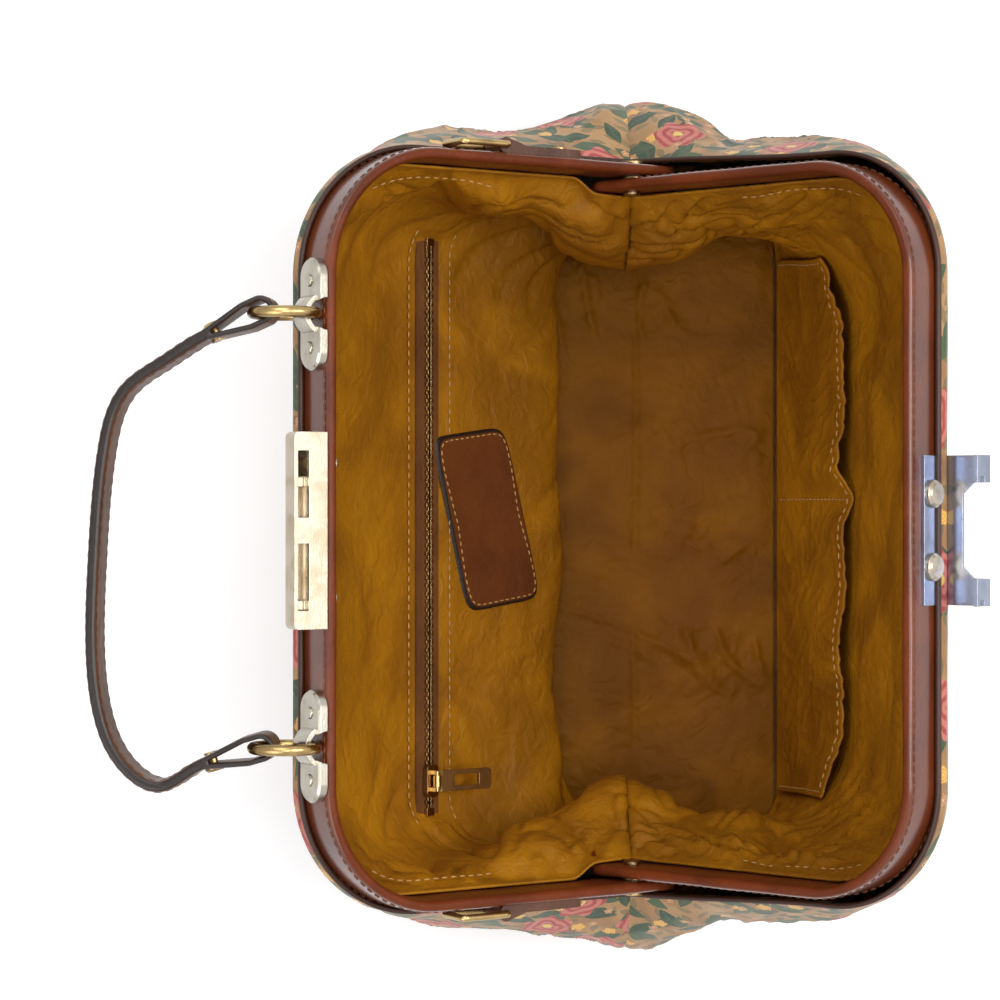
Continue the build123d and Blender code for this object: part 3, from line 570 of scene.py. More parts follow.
@dataclass(frozen=True)
class FloralPrint:
    """Printed leather: warm ground, dark leaves, layered roses and small open flowers, drawn from cells."""

    name: str = "floral print"
    ground: tuple[float, float, float] = (0.45, 0.25, 0.092)
    shade: tuple[float, float, float] = (0.32, 0.155, 0.05)
    rose: tuple[float, float, float] = (0.40, 0.045, 0.04)
    blush: tuple[float, float, float] = (0.58, 0.17, 0.12)
    leaf: tuple[float, float, float] = (0.018, 0.045, 0.018)
    vein: tuple[float, float, float] = (0.07, 0.11, 0.04)
    bloom: tuple[float, float, float] = (0.80, 0.30, 0.05)
    heart: tuple[float, float, float] = (0.78, 0.55, 0.12)

    def cell(self, s: Shader, uv: Value, scale: float, turn: float) -> tuple[Socket, Socket, Socket, Socket]:
        """Local polar place inside a random cell.

        Args:
            s: The shader.
            uv: Cloth coordinates.
            scale: Cells per metre.
            turn: Turn of the cell field, radians.

        Returns:
            Radius in cells, angle, local vector, and the cell's random colour.
        """
        place = s.vector("SCALE", s.turned(uv, turn))
        place.node.inputs["Scale"].default_value = scale
        cells = s.node("ShaderNodeTexVoronoi", {"Vector": place, "Scale": 1.0, "Randomness": 0.82},
                       voronoi_dimensions="2D")
        local = s.vector("SUBTRACT", place, cells.outputs["Position"])
        x, y, _ = s.split(local)
        angle = s.math("ARCTAN2", y, x)
        return s.vector("LENGTH", local), angle, local, cells.outputs["Color"]

    def leaves(self, s: Shader, under: Socket, uv: Value, scale: float, turn: float) -> Socket:
        """Pointed leaves with a pale vein, one to a cell, each at its own angle.

        Args:
            s: The shader.
            under: Colour below.
            uv: Cloth coordinates.
            scale: Cells per metre.
            turn: Turn of the cell field, radians.

        Returns:
            The colour with leaves over it.
        """
        _, _, local, chance = self.cell(s, uv, scale, turn)
        first, second, _ = s.split(chance)
        x, aside, _ = s.split(s.turned(local, s.math("MULTIPLY", first, math.tau)))
        y = s.math("ABSOLUTE", aside)
        reach = s.math("ABSOLUTE", s.math("DIVIDE", x, 0.46))
        width = s.math("MULTIPLY", 0.2, s.math("SUBTRACT", 1.0, s.math("POWER", reach, 1.6)))
        inside = s.step(s.math("SUBTRACT", width, y), -0.01, 0.01)
        wiggle = s.math("MULTIPLY", 0.02, s.math("SINE", s.math("MULTIPLY", x, 60.0)))
        vein = s.step(s.math("ADD", y, wiggle), 0.03, 0.012)
        tint = s.mix(second, self.leaf, self.vein)
        return s.mix(inside, under, s.mix(s.math("MULTIPLY", vein, 0.7), tint, self.vein))

    def flowers(self, s: Shader, under: Socket, uv: Value, scale: float, turn: float, petals: float,
                size: float, outer: Value, inner: Value, keep: float) -> Socket:
        """Petalled flowers with darker whorls and a heart.

        Args:
            s: The shader.
            under: Colour below.
            uv: Cloth coordinates.
            scale: Cells per metre.
            turn: Turn of the cell field, radians.
            petals: Petals a flower.
            size: Radius in cells.
            outer: Petal colour.
            inner: Whorl colour.
            keep: Share of the cells that stay empty.

        Returns:
            The colour with flowers over it.
        """
        radius, angle, _, chance = self.cell(s, uv, scale, turn)
        first, _, third = s.split(chance)
        wave = s.math("COSINE", s.math("MULTIPLY_ADD", angle, petals, s.math("MULTIPLY", third, 6.0)))
        reach = s.math("MULTIPLY_ADD", wave, 0.13 * size, size)
        inside = s.step(s.math("SUBTRACT", reach, radius), -0.01, 0.01)
        there = s.math("GREATER_THAN", first, keep)
        rings = s.math("MULTIPLY", radius, 34.0 / size * 0.45)
        sway = s.math("MULTIPLY", s.math("SINE", s.math("MULTIPLY", angle, petals * 0.5)), 1.6)
        whorl = s.math("SINE", s.math("ADD", rings, sway))
        petal = s.mix(s.step(whorl, -0.5, 0.8), outer, inner)
        petal = s.mix(s.step(radius, 0.24 * size, 0.16 * size), petal, self.heart)
        return s.mix(s.math("MULTIPLY", inside, there), under, petal)

    def make(self) -> bpy.types.Material:
        """Builds the material from ground, leaves, roses and small flowers, laid over each other.

        Returns:
            The material.
        """
        s = Shader(self.name)
        uv = s.cloth()
        drift = s.noise(uv, 60.0, 3.0)
        colour = s.mix(s.step(drift, 0.35, 0.7), self.ground, self.shade)
        speck = s.noise(uv, 420.0, 2.0)
        colour = s.mix(s.step(speck, 0.62, 0.72), colour, self.shade)
        colour = s.mix(0.5, colour, self.leaves(s, colour, uv, 110.0, 2.4))
        colour = self.leaves(s, colour, uv, 46.0, 0.4)
        colour = self.leaves(s, colour, uv, 58.0, 1.9)
        colour = self.flowers(s, colour, uv, 70.0, 0.9, 5.0, 0.22, self.bloom, self.heart, 0.7)
        colour = self.flowers(s, colour, uv, 27.0, 2.1, 6.0, 0.30, self.blush, self.rose, 0.45)
        colour = self.flowers(s, colour, uv, 96.0, 0.2, 5.0, 0.20, (0.66, 0.45, 0.2), self.rose, 0.7)
        colour = s.mix(s.mask("edge"), colour, (0.05, 0.02, 0.012))
        grain = s.node("ShaderNodeTexVoronoi", {"Vector": s.spot(), "Scale": 800.0}).outputs["Distance"]
        s.set(Base_Color=colour, Roughness=0.42, Specular_IOR_Level=0.3, Coat_Weight=0.06, Coat_Roughness=0.2,
              Normal=s.bump(grain, 0.00008))
        return s.material


class Finish(Enum):
    """Every finish on the bag."""

    PRINT = FloralPrint()
    TRIM = Leather("trim leather", (0.17, 0.036, 0.010), (0.10, 0.021, 0.007), (0.018, 0.007, 0.005),
                   0.36, 1.0, glossy=True, shine=0.12)
    STRAP = Leather("handle leather", (0.115, 0.045, 0.022), (0.07, 0.026, 0.014), (0.012, 0.006, 0.004),
                    0.38, 0.25)
    TAB = Leather("tab leather", (0.115, 0.045, 0.022), (0.07, 0.026, 0.014), (0.012, 0.006, 0.004),
                  0.4, 0.2, False)
    PATCH = Leather("patch leather", (0.15, 0.042, 0.008), (0.10, 0.027, 0.006), (0.016, 0.008, 0.005),
                    0.5, 0.04)
    LINING = Cloth("golden lining", (0.43, 0.178, 0.004), (0.27, 0.102, 0.003), 0.5)
    # The floor's lining is the walls' golden lining cloth given darker tones and less shine: painted shade of
    # the deep floor inside the bag.
    FLOOR = Cloth("golden lining of the floor", (0.25, 0.094, 0.003), (0.165, 0.057, 0.002), 0.55, shine=0.12)
    TAPE = Cloth("zip tape", (0.17, 0.065, 0.016), (0.11, 0.04, 0.011), 0.7, 1400.0)
    BOARD = Cloth("grey board", (0.30, 0.26, 0.2), (0.22, 0.19, 0.15), 0.85, 400.0)
    THREAD = Leather("thread", (0.52, 0.30, 0.10), (0.42, 0.22, 0.07), (0.4, 0.2, 0.1), 0.6, 0.0, False)
    DARK_THREAD = Leather("dark thread", (0.16, 0.06, 0.025), (0.1, 0.04, 0.02), (0.1, 0.05, 0.02),
                          0.6, 0.0, False)
    STEEL = Metal("bright steel", (0.34, 0.37, 0.46), 0.2, (0.26, 0.28, 0.36))
    STRIP = Metal("rolled strip", (0.45, 0.45, 0.46), 0.35, (0.36, 0.36, 0.37))
    BRASS = Metal("pale brass", (0.54, 0.47, 0.37), 0.22, (0.42, 0.34, 0.23))
    MOUNT = Metal("champagne plate", (0.50, 0.46, 0.39), 0.2, (0.38, 0.34, 0.27))
    RING = Metal("antique brass", (0.50, 0.35, 0.15), 0.24, (0.30, 0.2, 0.085), 0.0003)
    PIN = Metal("dark pin", (0.30, 0.2, 0.1), 0.3, (0.18, 0.12, 0.06))


MATERIALS: dict[Finish, bpy.types.Material] = {}


def finish(obj: bpy.types.Object, look: Finish) -> None:
    """Gives an object one finish.

    Args:
        obj: The object.
        look: The finish.
    """
    if look not in MATERIALS:
        MATERIALS[look] = look.value.make()
    obj.data.materials.clear()
    obj.data.materials.append(MATERIALS[look])


def dress(obj: bpy.types.Object, look: Finish, node: str = "", body: str = "") -> None:
    """Gives a piece its finish in its one material slot, and where named hides the CAD node it replaces and
    puts it on the body it rides on.

    Args:
        obj: The piece.
        look: The finish.
        node: CAD node that it replaces.
        body: Body that it rides on.
    """
    finish(obj, look)
    if body:
        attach(obj, body)
    if node:
        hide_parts(node)


def stand(points: np.ndarray, half: Half) -> np.ndarray:
    """Turns points drawn on an upright frame half to its open angle.

    Args:
        points: Design millimetres, hinge line at height 0.
        half: Which half.

    Returns:
        The points at rest, about the hinge's middle on the floor.
    """
    angle = math.radians(-(90 - REAR_TILT) if half is Half.REAR else 90 - FRONT_TILT)
    x, y, z = points[..., 0], points[..., 1], points[..., 2]
    c, s = math.cos(angle), math.sin(angle)
    return np.stack([x, y * c - z * s, y * s + z * c + HINGE_Z], -1)


@dataclass
class Wall:
    """One half of a soft wall, from t = 0 at the base to t = 1 at the frame.

    Each level is a half loop, seam to seam: two arms that ease from the seam to the corner's width, two
    round corners and a bar. Levels blend from the base loop to the top loop, and turn about the seam line
    from flat to the half's open angle.
    """

    half: Half
    tilt: float
    low: float
    high: float
    base: tuple[float, float, float, float]
    top: tuple[float, float, float, float]
    shape: Callable[[np.ndarray], tuple[np.ndarray, ...]]
    ripple: Callable[..., np.ndarray]
    columns: tuple[int, int, int] = (56, 44, 52)

    def outline(self, t: np.ndarray) -> tuple[np.ndarray, np.ndarray]:
        """In-plane points of each level.

        Args:
            t: Levels, one to a row.

        Returns:
            Distance along the bag and outwards, both (levels, columns).
        """
        t = t[:, None]
        change = self.shape(t)
        seam, corner, depth, bend = [b + (u - b) * t + d for b, u, d in zip(self.base, self.top, change)]
        arm, turn, bar = self.columns
        k = np.arange(arm)[None] / arm
        a = math.pi / 2 * np.arange(turn)[None] / turn
        m = 1 - np.arange(bar + 1)[None] / bar
        x = np.concatenate([seam + (corner - seam) * ease(k), corner - bend + bend * np.cos(a),
                            (corner - bend) * m], 1)
        s = np.concatenate([(depth - bend) * k, depth - bend + bend * np.sin(a), depth + 0 * m], 1)
        x = np.concatenate([x, -x[:, -2::-1]], 1)
        s = np.concatenate([s, s[:, -2::-1]], 1)
        return self.push(x, s, self.ripple(x, s, t, depth - s))

    def push(self, x: np.ndarray, s: np.ndarray,
             distance: np.ndarray | float) -> tuple[np.ndarray, np.ndarray]:
        """Moves a half loop outwards, its seam ends along the bag only.

        Args:
            x: Distance along the bag.
            s: Distance outwards.
            distance: How far.

        Returns:
            The moved pair.
        """
        dx, ds = np.gradient(x, axis=1), np.gradient(s, axis=1)
        dx[:, [0, -1]] = 0.0
        ds[:, 0], ds[:, -1] = 1.0, -1.0
        n = np.hypot(dx, ds)
        return x + ds / n * distance, s - dx / n * distance

    def place(self, x: np.ndarray, s: np.ndarray, t: np.ndarray) -> np.ndarray:
        """In-plane points to the design frame.

        Args:
            x: Distance along the bag.
            s: Distance outwards.
            t: Level of each.

        Returns:
            Points in millimetres.
        """
        a = math.radians(self.tilt) * t ** 1.3
        height = self.low + (self.high - self.low) * t + s * np.sin(a)
        return np.stack([x, self.half.value * s * np.cos(a), height], -1)

    def reach(self, x: np.ndarray, s: np.ndarray) -> np.ndarray:
        """Arc length from the middle of the bar, positive towards +X.

        Args:
            x: Distance along the bag.
            s: Distance outwards.

        Returns:
            Arc length at each column.
        """
        steps = np.hypot(np.diff(x, axis=1), np.diff(s, axis=1))
        trail = np.concatenate([np.zeros((len(x), 1)), np.cumsum(steps, 1)], 1)
        return trail[:, [x.shape[1] // 2]] - trail

    def surface(self, t: np.ndarray, crumple: Callable[..., np.ndarray], near: float,
                far: float) -> tuple[np.ndarray, np.ndarray, np.ndarray]:
        """Both faces of the wall with its fine relief.

        Args:
            t: Levels, one to a row.
            crumple: Relief in millimetres from arc length, height up the wall, x, s and t.
            near: Offset of the first face.
            far: Offset of the second face.

        Returns:
            First face, second face and cloth coordinates in millimetres.
        """
        x, s = self.outline(t)
        tt = t[:, None] + 0 * x
        flat = self.place(x, s, tt)
        w = self.reach(x, s)
        rise = np.linalg.norm(np.diff(flat, axis=0), axis=2)
        v = np.concatenate([np.zeros((1, x.shape[1])), np.cumsum(rise, 0)], 0)
        relief = crumple(w, v, x, s, tt)
        faces = [self.place(*self.push(x, s, relief + d), tt) for d in (near, far)]
        return faces[0], faces[1], np.stack([w, v], -1)

    def lookup(self, w: np.ndarray, t: np.ndarray, distance: np.ndarray | float) -> np.ndarray:
        """Points on the wall by arc length and level.

        Args:
            w: Arc length from the middle of the bar.
            t: Level.
            distance: Offset outwards.

        Returns:
            Points in millimetres, of the shape of w.
        """
        steps, far = 160, 215
        x, s = self.outline(np.linspace(0, 1, steps + 1))
        trail = self.reach(x, s)
        grid = np.linspace(-far, far, 2 * far + 1)
        gx = np.stack([np.interp(grid, r[::-1], a[::-1]) for r, a in zip(trail, x)])
        gs = np.stack([np.interp(grid, r[::-1], a[::-1]) for r, a in zip(trail, s)])
        nx, ns = self.push(gx[:, ::-1], gs[:, ::-1], 1.0)
        nx, ns = nx[:, ::-1] - gx, ns[:, ::-1] - gs
        w, t = np.broadcast_arrays(np.asarray(w, float), np.asarray(t, float))
        i, j = np.clip(t * steps, 0, steps - 0.001), np.clip(w + far, 0, 2 * far - 0.001)
        i0, j0 = i.astype(int), j.astype(int)
        fi, fj = i - i0, j - j0

        def at(field_: np.ndarray) -> np.ndarray:
            """Bilinear reading of one grid."""
            return ((field_[i0, j0] * (1 - fj) + field_[i0, j0 + 1] * fj) * (1 - fi)
                    + (field_[i0 + 1, j0] * (1 - fj) + field_[i0 + 1, j0 + 1] * fj) * fi)

        return self.place(at(gx) + at(nx) * distance, at(gs) + at(ns) * distance, t)


def belly(t: np.ndarray) -> np.ndarray:
    """Half a sine wave over the levels, none at the base and the frame.

    Args:
        t: Levels.

    Returns:
        Values from 0 to 1.
    """
    return np.sin(math.pi * np.clip(t, 0, 1)).clip(0)


def seam_height(angle: float, edge: float) -> float:
    """Height at the seam of a plane set back from the band's mid line.

    Args:
        angle: Tilt of the half, degrees.
        edge: Set back, millimetres.

    Returns:
        Height in millimetres.
    """
    return HINGE_Z - edge / math.cos(math.radians(angle))


TAN_REAR, TAN_FRONT = math.tan(math.radians(REAR_TILT)), math.tan(math.radians(FRONT_TILT))
LEATHER_HIGH = seam_height(REAR_TILT, LEATHER_SET_BACK)
LINING_HIGH = seam_height(REAR_TILT, LINING_SET_BACK)
FRONT_EDGE = (HINGE_Z - LEATHER_HIGH) * math.cos(math.radians(FRONT_TILT))
FRONT_LINING_EDGE = (HINGE_Z - LINING_HIGH) * math.cos(math.radians(FRONT_TILT))
LEATHER_BASE = (150.0, 148.0, 70.0, 30.0)
LINING_BASE = (142.0, 141.0, 66.0, 26.0)
LEATHER_REAR_TOP = (141.0, 140.0, 141.5 + LEATHER_SET_BACK * TAN_REAR, 48.5)
LEATHER_FRONT_TOP = (141.0, 137.0, 132.9 + FRONT_EDGE * TAN_FRONT, 44.5)
LINING_REAR_TOP = (127.6, 132.0, 135.2 + LINING_SET_BACK * TAN_REAR, 42.2)
LINING_FRONT_TOP = (127.6, 128.0, 126.6 + FRONT_LINING_EDGE * TAN_FRONT, 38.2)


def leather_shape(t: np.ndarray) -> tuple[np.ndarray, ...]:
    """Belly of the outer leather: sines of the level.

    Args:
        t: Levels.

    Returns:
        Changes of seam, corner, depth and bend.
    """
    swell = belly(t)
    return 25 * swell ** 0.9, 13 * swell, 7 * swell, 16 * swell


def leather_ripple(half: Half) -> Callable[..., np.ndarray]:
    """Slow folds at the bag's two ends.

    Args:
        half: Which half.

    Returns:
        Ripple in millimetres as a function of x, s and t.
    """
    def ripple(x: np.ndarray, s: np.ndarray, t: np.ndarray, inward: np.ndarray) -> np.ndarray:
        """Sine along the arm times the belly, and one deep fold on the front half."""
        end = ease((np.abs(x) - 110) / 35) * np.sin(math.pi * t).clip(0) * ease(s / 12)
        right = x > 0
        if half is Half.REAR:
            return end * 1.8 * np.sin(s / 15 + 2.4 * t + np.where(right, 0.8, 2.1))
        fold = -4.5 * np.exp(-((s - np.where(right, 46, 40)) / 9) ** 2)
        return end * (fold + 1.4 * np.sin(s / 17 + 1.9 * t + np.where(right, 0.3, 1.7)))
    return ripple


def lining_shape(half: Half) -> Callable[[np.ndarray], tuple[np.ndarray, ...]]:
    """Drape of the lining: hangs inwards below, drawn to the frame above.

    Args:
        half: Which half.

    Returns:
        Changes of seam, corner, depth and bend as a function of the level.
    """
    def shape(t: np.ndarray) -> tuple[np.ndarray, ...]:
        """Sines and powers of the level."""
        swell = belly(t)
        if half is Half.REAR:
            k = t / 0.2
            hang = 44 * k * np.exp(1 - k) * (1 - t) * 1.25
            spread = swell * ease((t - 0.25) / 0.22)
            return (-31 * swell ** 1.2, -17 * swell + 9 * spread,
                    (LINING_REAR_TOP[2] - LINING_BASE[2]) * (t ** 1.35 - t) - hang, 8 * swell - 20 * spread)
        return (-31 * swell ** 1.2, -16 * swell,
                (LINING_FRONT_TOP[2] - LINING_BASE[2]) * (t ** 1.2 - t) - 1.5 * swell, 8 * swell)
    return shape


def lining_ripple(x: np.ndarray, s: np.ndarray, t: np.ndarray, inward: np.ndarray) -> np.ndarray:
    """Drapes of the lining at the bag's two ends.

    Args:
        x: Distance along the bag.
        s: Distance outwards.
        t: Level.
        inward: Distance in from the bar.

    Returns:
        Ripple in millimetres.
    """
    end = ease((np.abs(x) - 96) / 14) * ease(inward / 45) * ease((t - 0.05) / 0.3)
    end = end * np.sin(math.pi * t).clip(0) ** 0.8
    turn = np.where(x > 0, 0.6, 2.4)
    wave = 2.6 * np.sin(s / 7.5 + 3.1 * t + turn) + 0.7 * np.sin(s / 3.9 - 5 * t + turn)
    return end * wave * ease(s / 6 + 0.3)


def soft_wall(half: Half, lining: bool) -> Wall:
    """One of the four soft walls.

    Args:
        half: Which half.
        lining: The lining, or else the outer leather.

    Returns:
        The wall.
    """
    tilt = REAR_TILT if half is Half.REAR else FRONT_TILT
    if lining:
        top = LINING_REAR_TOP if half is Half.REAR else LINING_FRONT_TOP
        return Wall(half, tilt, 9.2, LINING_HIGH, LINING_BASE, top, lining_shape(half), lining_ripple,
                    (50, 36, 66))
    top = LEATHER_REAR_TOP if half is Half.REAR else LEATHER_FRONT_TOP
    return Wall(half, tilt, 5.8, LEATHER_HIGH, LEATHER_BASE, top, leather_shape, leather_ripple(half))


def follow(obj: bpy.types.Object) -> None:
    """Bakes the piece's placement into its mesh.

    Args:
        obj: The wall.
    """
    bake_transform(obj)


def mark(obj: bpy.types.Object, name: str, values: np.ndarray) -> None:
    """Stores one number a vertex.

    Args:
        obj: The object.
        name: Attribute name.
        values: The numbers.
    """
    layer = obj.data.attributes.new(name, "FLOAT", "POINT")
    layer.data.foreach_set("value", values.reshape(-1).astype(np.float32))


@dataclass
class OuterLeather:
    """Printed leather half: a shell from the base to a turned-up edge beside the frame band."""

    half: Half
    thick: float = 1.8
    lip: float = 5.0
    levels: int = 90
    lip_rows: int = 5
    front_start: tuple[float, float] = (0.413, 0.217)

    def relief(self, w: np.ndarray, v: np.ndarray, x: np.ndarray, s: np.ndarray, t: np.ndarray) -> np.ndarray:
        """Slack of the leather: slow waves, soft creases at the ends and a groove at the gusset seam.

        Args:
            w: Arc length.
            v: Height up the wall.
            x: Distance along the bag.
            s: Distance outwards.
            t: Level.

        Returns:
            Relief in millimetres.
        """
        seed = 11 if self.half is Half.REAR else 12
        swell = belly(t)
        free = swell ** 0.7 * ease(s / 10)
        end = ease((np.abs(x) - 90) / 40)
        soft = 0.9 * waves(w, v, seed, 55) + end * 1.3 * creases(w, v * 0.7, seed + 4, 34)
        return free * soft - 1.0 * np.exp(-(s / 1.3) ** 2) * swell

    def build(self) -> bpy.types.Object:
        """Outer face up, over the edge and inner face down, as one closed section along the half loop.

        Returns:
            The piece.
        """
        wall = soft_wall(self.half, False)
        t = np.linspace(0, 1, self.levels)
        inner, outer, uv = wall.surface(t, self.relief, 0.0, self.thick)
        angle = math.radians(wall.tilt)
        up = np.array([0.0, -self.half.value * math.sin(angle), math.cos(angle)])
        rise = np.linspace(0, self.lip, self.lip_rows + 1)[1:]
        outer_lip = outer[-1][None] + rise[:, None, None] * up
        inner_lip = inner[-1][None] + rise[::-1, None, None] * up
        crown = (outer_lip[-1] + inner_lip[0])[None] / 2 + 0.35 * up
        rows = np.concatenate([outer, outer_lip, crown, inner_lip, inner[::-1]])
        top = uv[-1][None] + np.stack([np.zeros(self.lip_rows), rise], -1)[:, None]
        coat = np.concatenate([uv, top, top[-1:], top[::-1], uv[::-1]])
        name = f"Outer_leather_{self.half.name.lower()}"
        start = (0.0, 0.0) if self.half is Half.REAR else self.front_start
        obj = mesh_from_grid(name, to_row(rows), coat * MM + start, close_u=True)
        edge = np.zeros(rows.shape[:2])
        edge[self.levels + 3:self.levels + 8] = 1.0
        mark(obj, "edge", edge)
        follow(obj)
        dress(obj, Finish.PRINT, f"leather_{self.half.name.lower()}")
        return obj


@dataclass
class Lining:
    """Loose lining half: drapes at the ends, creases all over, pressed flat where the zip is sewn in."""

    half: Half
    thick: float = 0.9
    levels: int = 104
    zip_level: float = 0.52
    zip_seat: float = 0.052
    pull_place: float = 101.0
    arm_inside: float = 133.6

    def relief(self, w: np.ndarray, v: np.ndarray, x: np.ndarray, s: np.ndarray, t: np.ndarray) -> np.ndarray:
        """Crumpled cloth, gathers under the frame, and flat seats for zip, patch and pocket seams.

        Args:
            w: Arc length.
            v: Height up the wall.
            x: Distance along the bag.
            s: Distance outwards.
            t: Level.

        Returns:
            Relief in millimetres.
        """
        seed = 21 if self.half is Half.REAR else 22
        free = ease(t / 0.06) * ease((1 - t) / 0.09)
        end = ease((np.abs(x) - 84) / 22)
        some = ease((waves(w, v, seed + 12, 80) + 0.1) / 0.8)
        cloth = (1.0 + 2.0 * end) * creases(w, v, seed, 34)
        cloth = cloth + (0.15 + 0.4 * some) * creases(w, v, seed + 9, 14)
        slack = 1.3 * waves(w, v * 1.4, seed + 3, 70)
        gather = 0.9 * np.sin(w / 3.4 + 2 * waves(w, v, seed + 5, 40)) * ease((t - 0.72) / 0.2) * end
        total = free * (cloth + slack + gather)
        if self.half is Half.REAR:
            arm = ease((s - 16) / 12) * ease((np.abs(x) - 118) / 8)
            total = total + arm * (self.arm_inside - np.abs(x)).clip(0, 6) * ease((t - 0.86) / 0.12)
            level = (t - self.zip_level) / self.zip_seat
            flat = ease((122 - np.abs(w)) / 6) * ease(1.9 - np.abs(level))
            hold = ease((58 - np.abs(w)) / 14) * ease((t - 0.24) / 0.05) * ease((0.56 - t) / 0.05)
            beside = ease((20 - np.abs(w + self.pull_place)) / 6)
            pull = beside * ease((t - 0.3) / 0.06) * ease((0.6 - t) / 0.05)
            keep = (1 - flat) * (1 - hold) * (1 - pull)
            under = ease((117 - np.abs(w)) / 2.5) * ease((1.12 - np.abs(level)) / 0.18)
            return total * keep + 1.3 * under
        hold = ease((118 - np.abs(w)) / 6) * ease((0.56 - t) / 0.04)
        return total * (1 - hold) + hold * 0.4

    def build(self) -> bpy.types.Object:
        """Inner face up and outer face down, as one closed section along the half loop.

        Returns:
            The piece.
        """
        wall = soft_wall(self.half, True)
        t = np.linspace(0, 1, self.levels)
        inner, outer, uv = wall.surface(t, self.relief, 0.0, self.thick)
        obj = thin_sheet(f"Lining_{self.half.name.lower()}", outer, inner, uv)
        follow(obj)
        dress(obj, Finish.LINING, f"lining_{self.half.name.lower()}")
        return obj


@dataclass
class LiningFloor:
    """Lining over the base board, full enough to crease, with a seam along its middle."""

    half_length: float = 141.9
    under: float = 8.32
    lowest: float = 9.25
    rows: int = 110
    columns: int = 220

    def build(self) -> bpy.types.Object:
        """Rounded rectangle filled by scaled half loops; height from creases and a seam groove.

        Returns:
            The piece.
        """
        rear, front = soft_wall(Half.REAR, True), soft_wall(Half.FRONT, True)
        u = np.linspace(-1, 1, self.columns)
        edge = []
        for wall in (rear, front):
            x, s = wall.outline(np.array([0.0]))
            edge.append(np.interp(u * self.half_length, x[0][::-1], s[0][::-1]))
        k = np.linspace(-1, 1, self.rows)[:, None]
        x = self.half_length * u + 0 * k
        y = np.where(k > 0, edge[0] * k, edge[1] * k)
        calm = ease((1 - np.abs(k)) / 0.12) * ease((1 - np.abs(u)) / 0.08)
        some = ease((waves(x, y, 35, 75) - 0.1) / 0.7)
        fold = some * (2.4 * creases(x * 0.6, y, 31, 34) + 1.1 * creases(x, y, 37, 13))
        fold = fold + 0.4 * creases(x, y, 38, 19)
        seam = 1.3 * np.exp(-((y + 6.6 + 0.6 * np.sin(x / 31)) / 1.1) ** 2)
        z = 9.4 + calm * (fold + 1.3 + 1.1 * waves(x, y, 33, 80)) - calm * seam
        z = np.maximum(z, self.lowest)
        top = np.stack([x, y, z], -1)
        low = np.stack([x, y, np.full_like(z, self.under)], -1)
        obj = thin_sheet("Lining_floor", low, top, np.stack([x, y], -1))
        # Its finish is the golden lining with painted shade: darker tones than the walls' lining.
        dress(obj, Finish.FLOOR, "lining_floor", Body.BAG.value)
        return obj


@dataclass
class SlipPocket:
    """Gathered pocket on the front wall, sewn at its foot, its sides and one seam, with a folded mouth."""

    reach: float = 112.0
    divider: float = 11.0
    foot: float = 0.06
    mouth: float = 0.52
    thick: float = 0.9
    wall_height: float = 208.0

    def gap(self, w: np.ndarray, t: np.ndarray) -> np.ndarray:
        """Stand-off from the wall: nothing at the seams, most at the mouth, with ruffles.

        Args:
            w: Arc length from the middle of the bar.
            t: Level.

        Returns:
            Distance in from the wall, millimetres.
        """
        side = ease((self.reach - np.abs(w)) / 16)
        seam = ease(np.abs(w - self.divider) / 13)
        up = ease((t - self.foot) / (self.mouth - self.foot))
        drift = waves(w, t * 90, 44, 45)
        gather = 0.22 * np.sin(w / 1.3 + 2.2 * drift) * ease((t - self.mouth + 0.16) / 0.12)
        crush = 0.8 * creases(w, t * 120, 41, 24) * ease((t - self.foot) / 0.08) * side
        return 0.6 + 4.2 * side * seam * up * (1 + 0.3 * drift) + (crush + gather + 0.45) * (0.3 + 0.7 * seam)

    def build(self) -> bpy.types.Object:
        """Closed thin section along the wall, mouth edge rounded.

        Returns:
            The piece.
        """
        wall = soft_wall(Half.FRONT, True)
        w = np.linspace(-self.reach, self.reach, 340)[None]
        t = np.linspace(self.foot, self.mouth, 64)[:, None]
        gap = self.gap(w + 0 * t, t + 0 * w)
        inner = wall.lookup(w + 0 * t, t + 0 * w, -gap - self.thick)
        outer = wall.lookup(w + 0 * t, t + 0 * w, -gap)
        uv = np.stack([w + 0 * t, t * self.wall_height + 0 * w], -1)
        obj = thin_sheet("Slip_pocket", outer, inner, uv)
        follow(obj)
        dress(obj, Finish.LINING, "slip_pocket")
        return obj

    def seams(self) -> list[bpy.types.Object]:
        """Stitch rows at the mouth, the sides and the divider.

        Returns:
            The rows.
        """
        wall = soft_wall(Half.FRONT, True)
        made = []
        up = np.linspace(self.foot + 0.02, self.mouth - 0.02, 80)
        mouth = np.linspace(-self.reach + 3, self.reach - 3, 300)
        for name, w, t in (("mouth", mouth, np.full(300, self.mouth - 0.022)),
                           ("divider", np.full(80, self.divider), up),
                           ("left", np.full(80, -self.reach + 2), up),
                           ("right", np.full(80, self.reach - 2), up)):
            gap = self.gap(w, t) + self.thick + 0.1
            line = wall.lookup(w, t, -gap)
            row = stitches(f"Pocket_stitches_{name}", line, wall.lookup(w, t, -gap - 1) - line)
            follow(row)
            dress(row, Finish.THREAD)
            made.append(row)
        return made


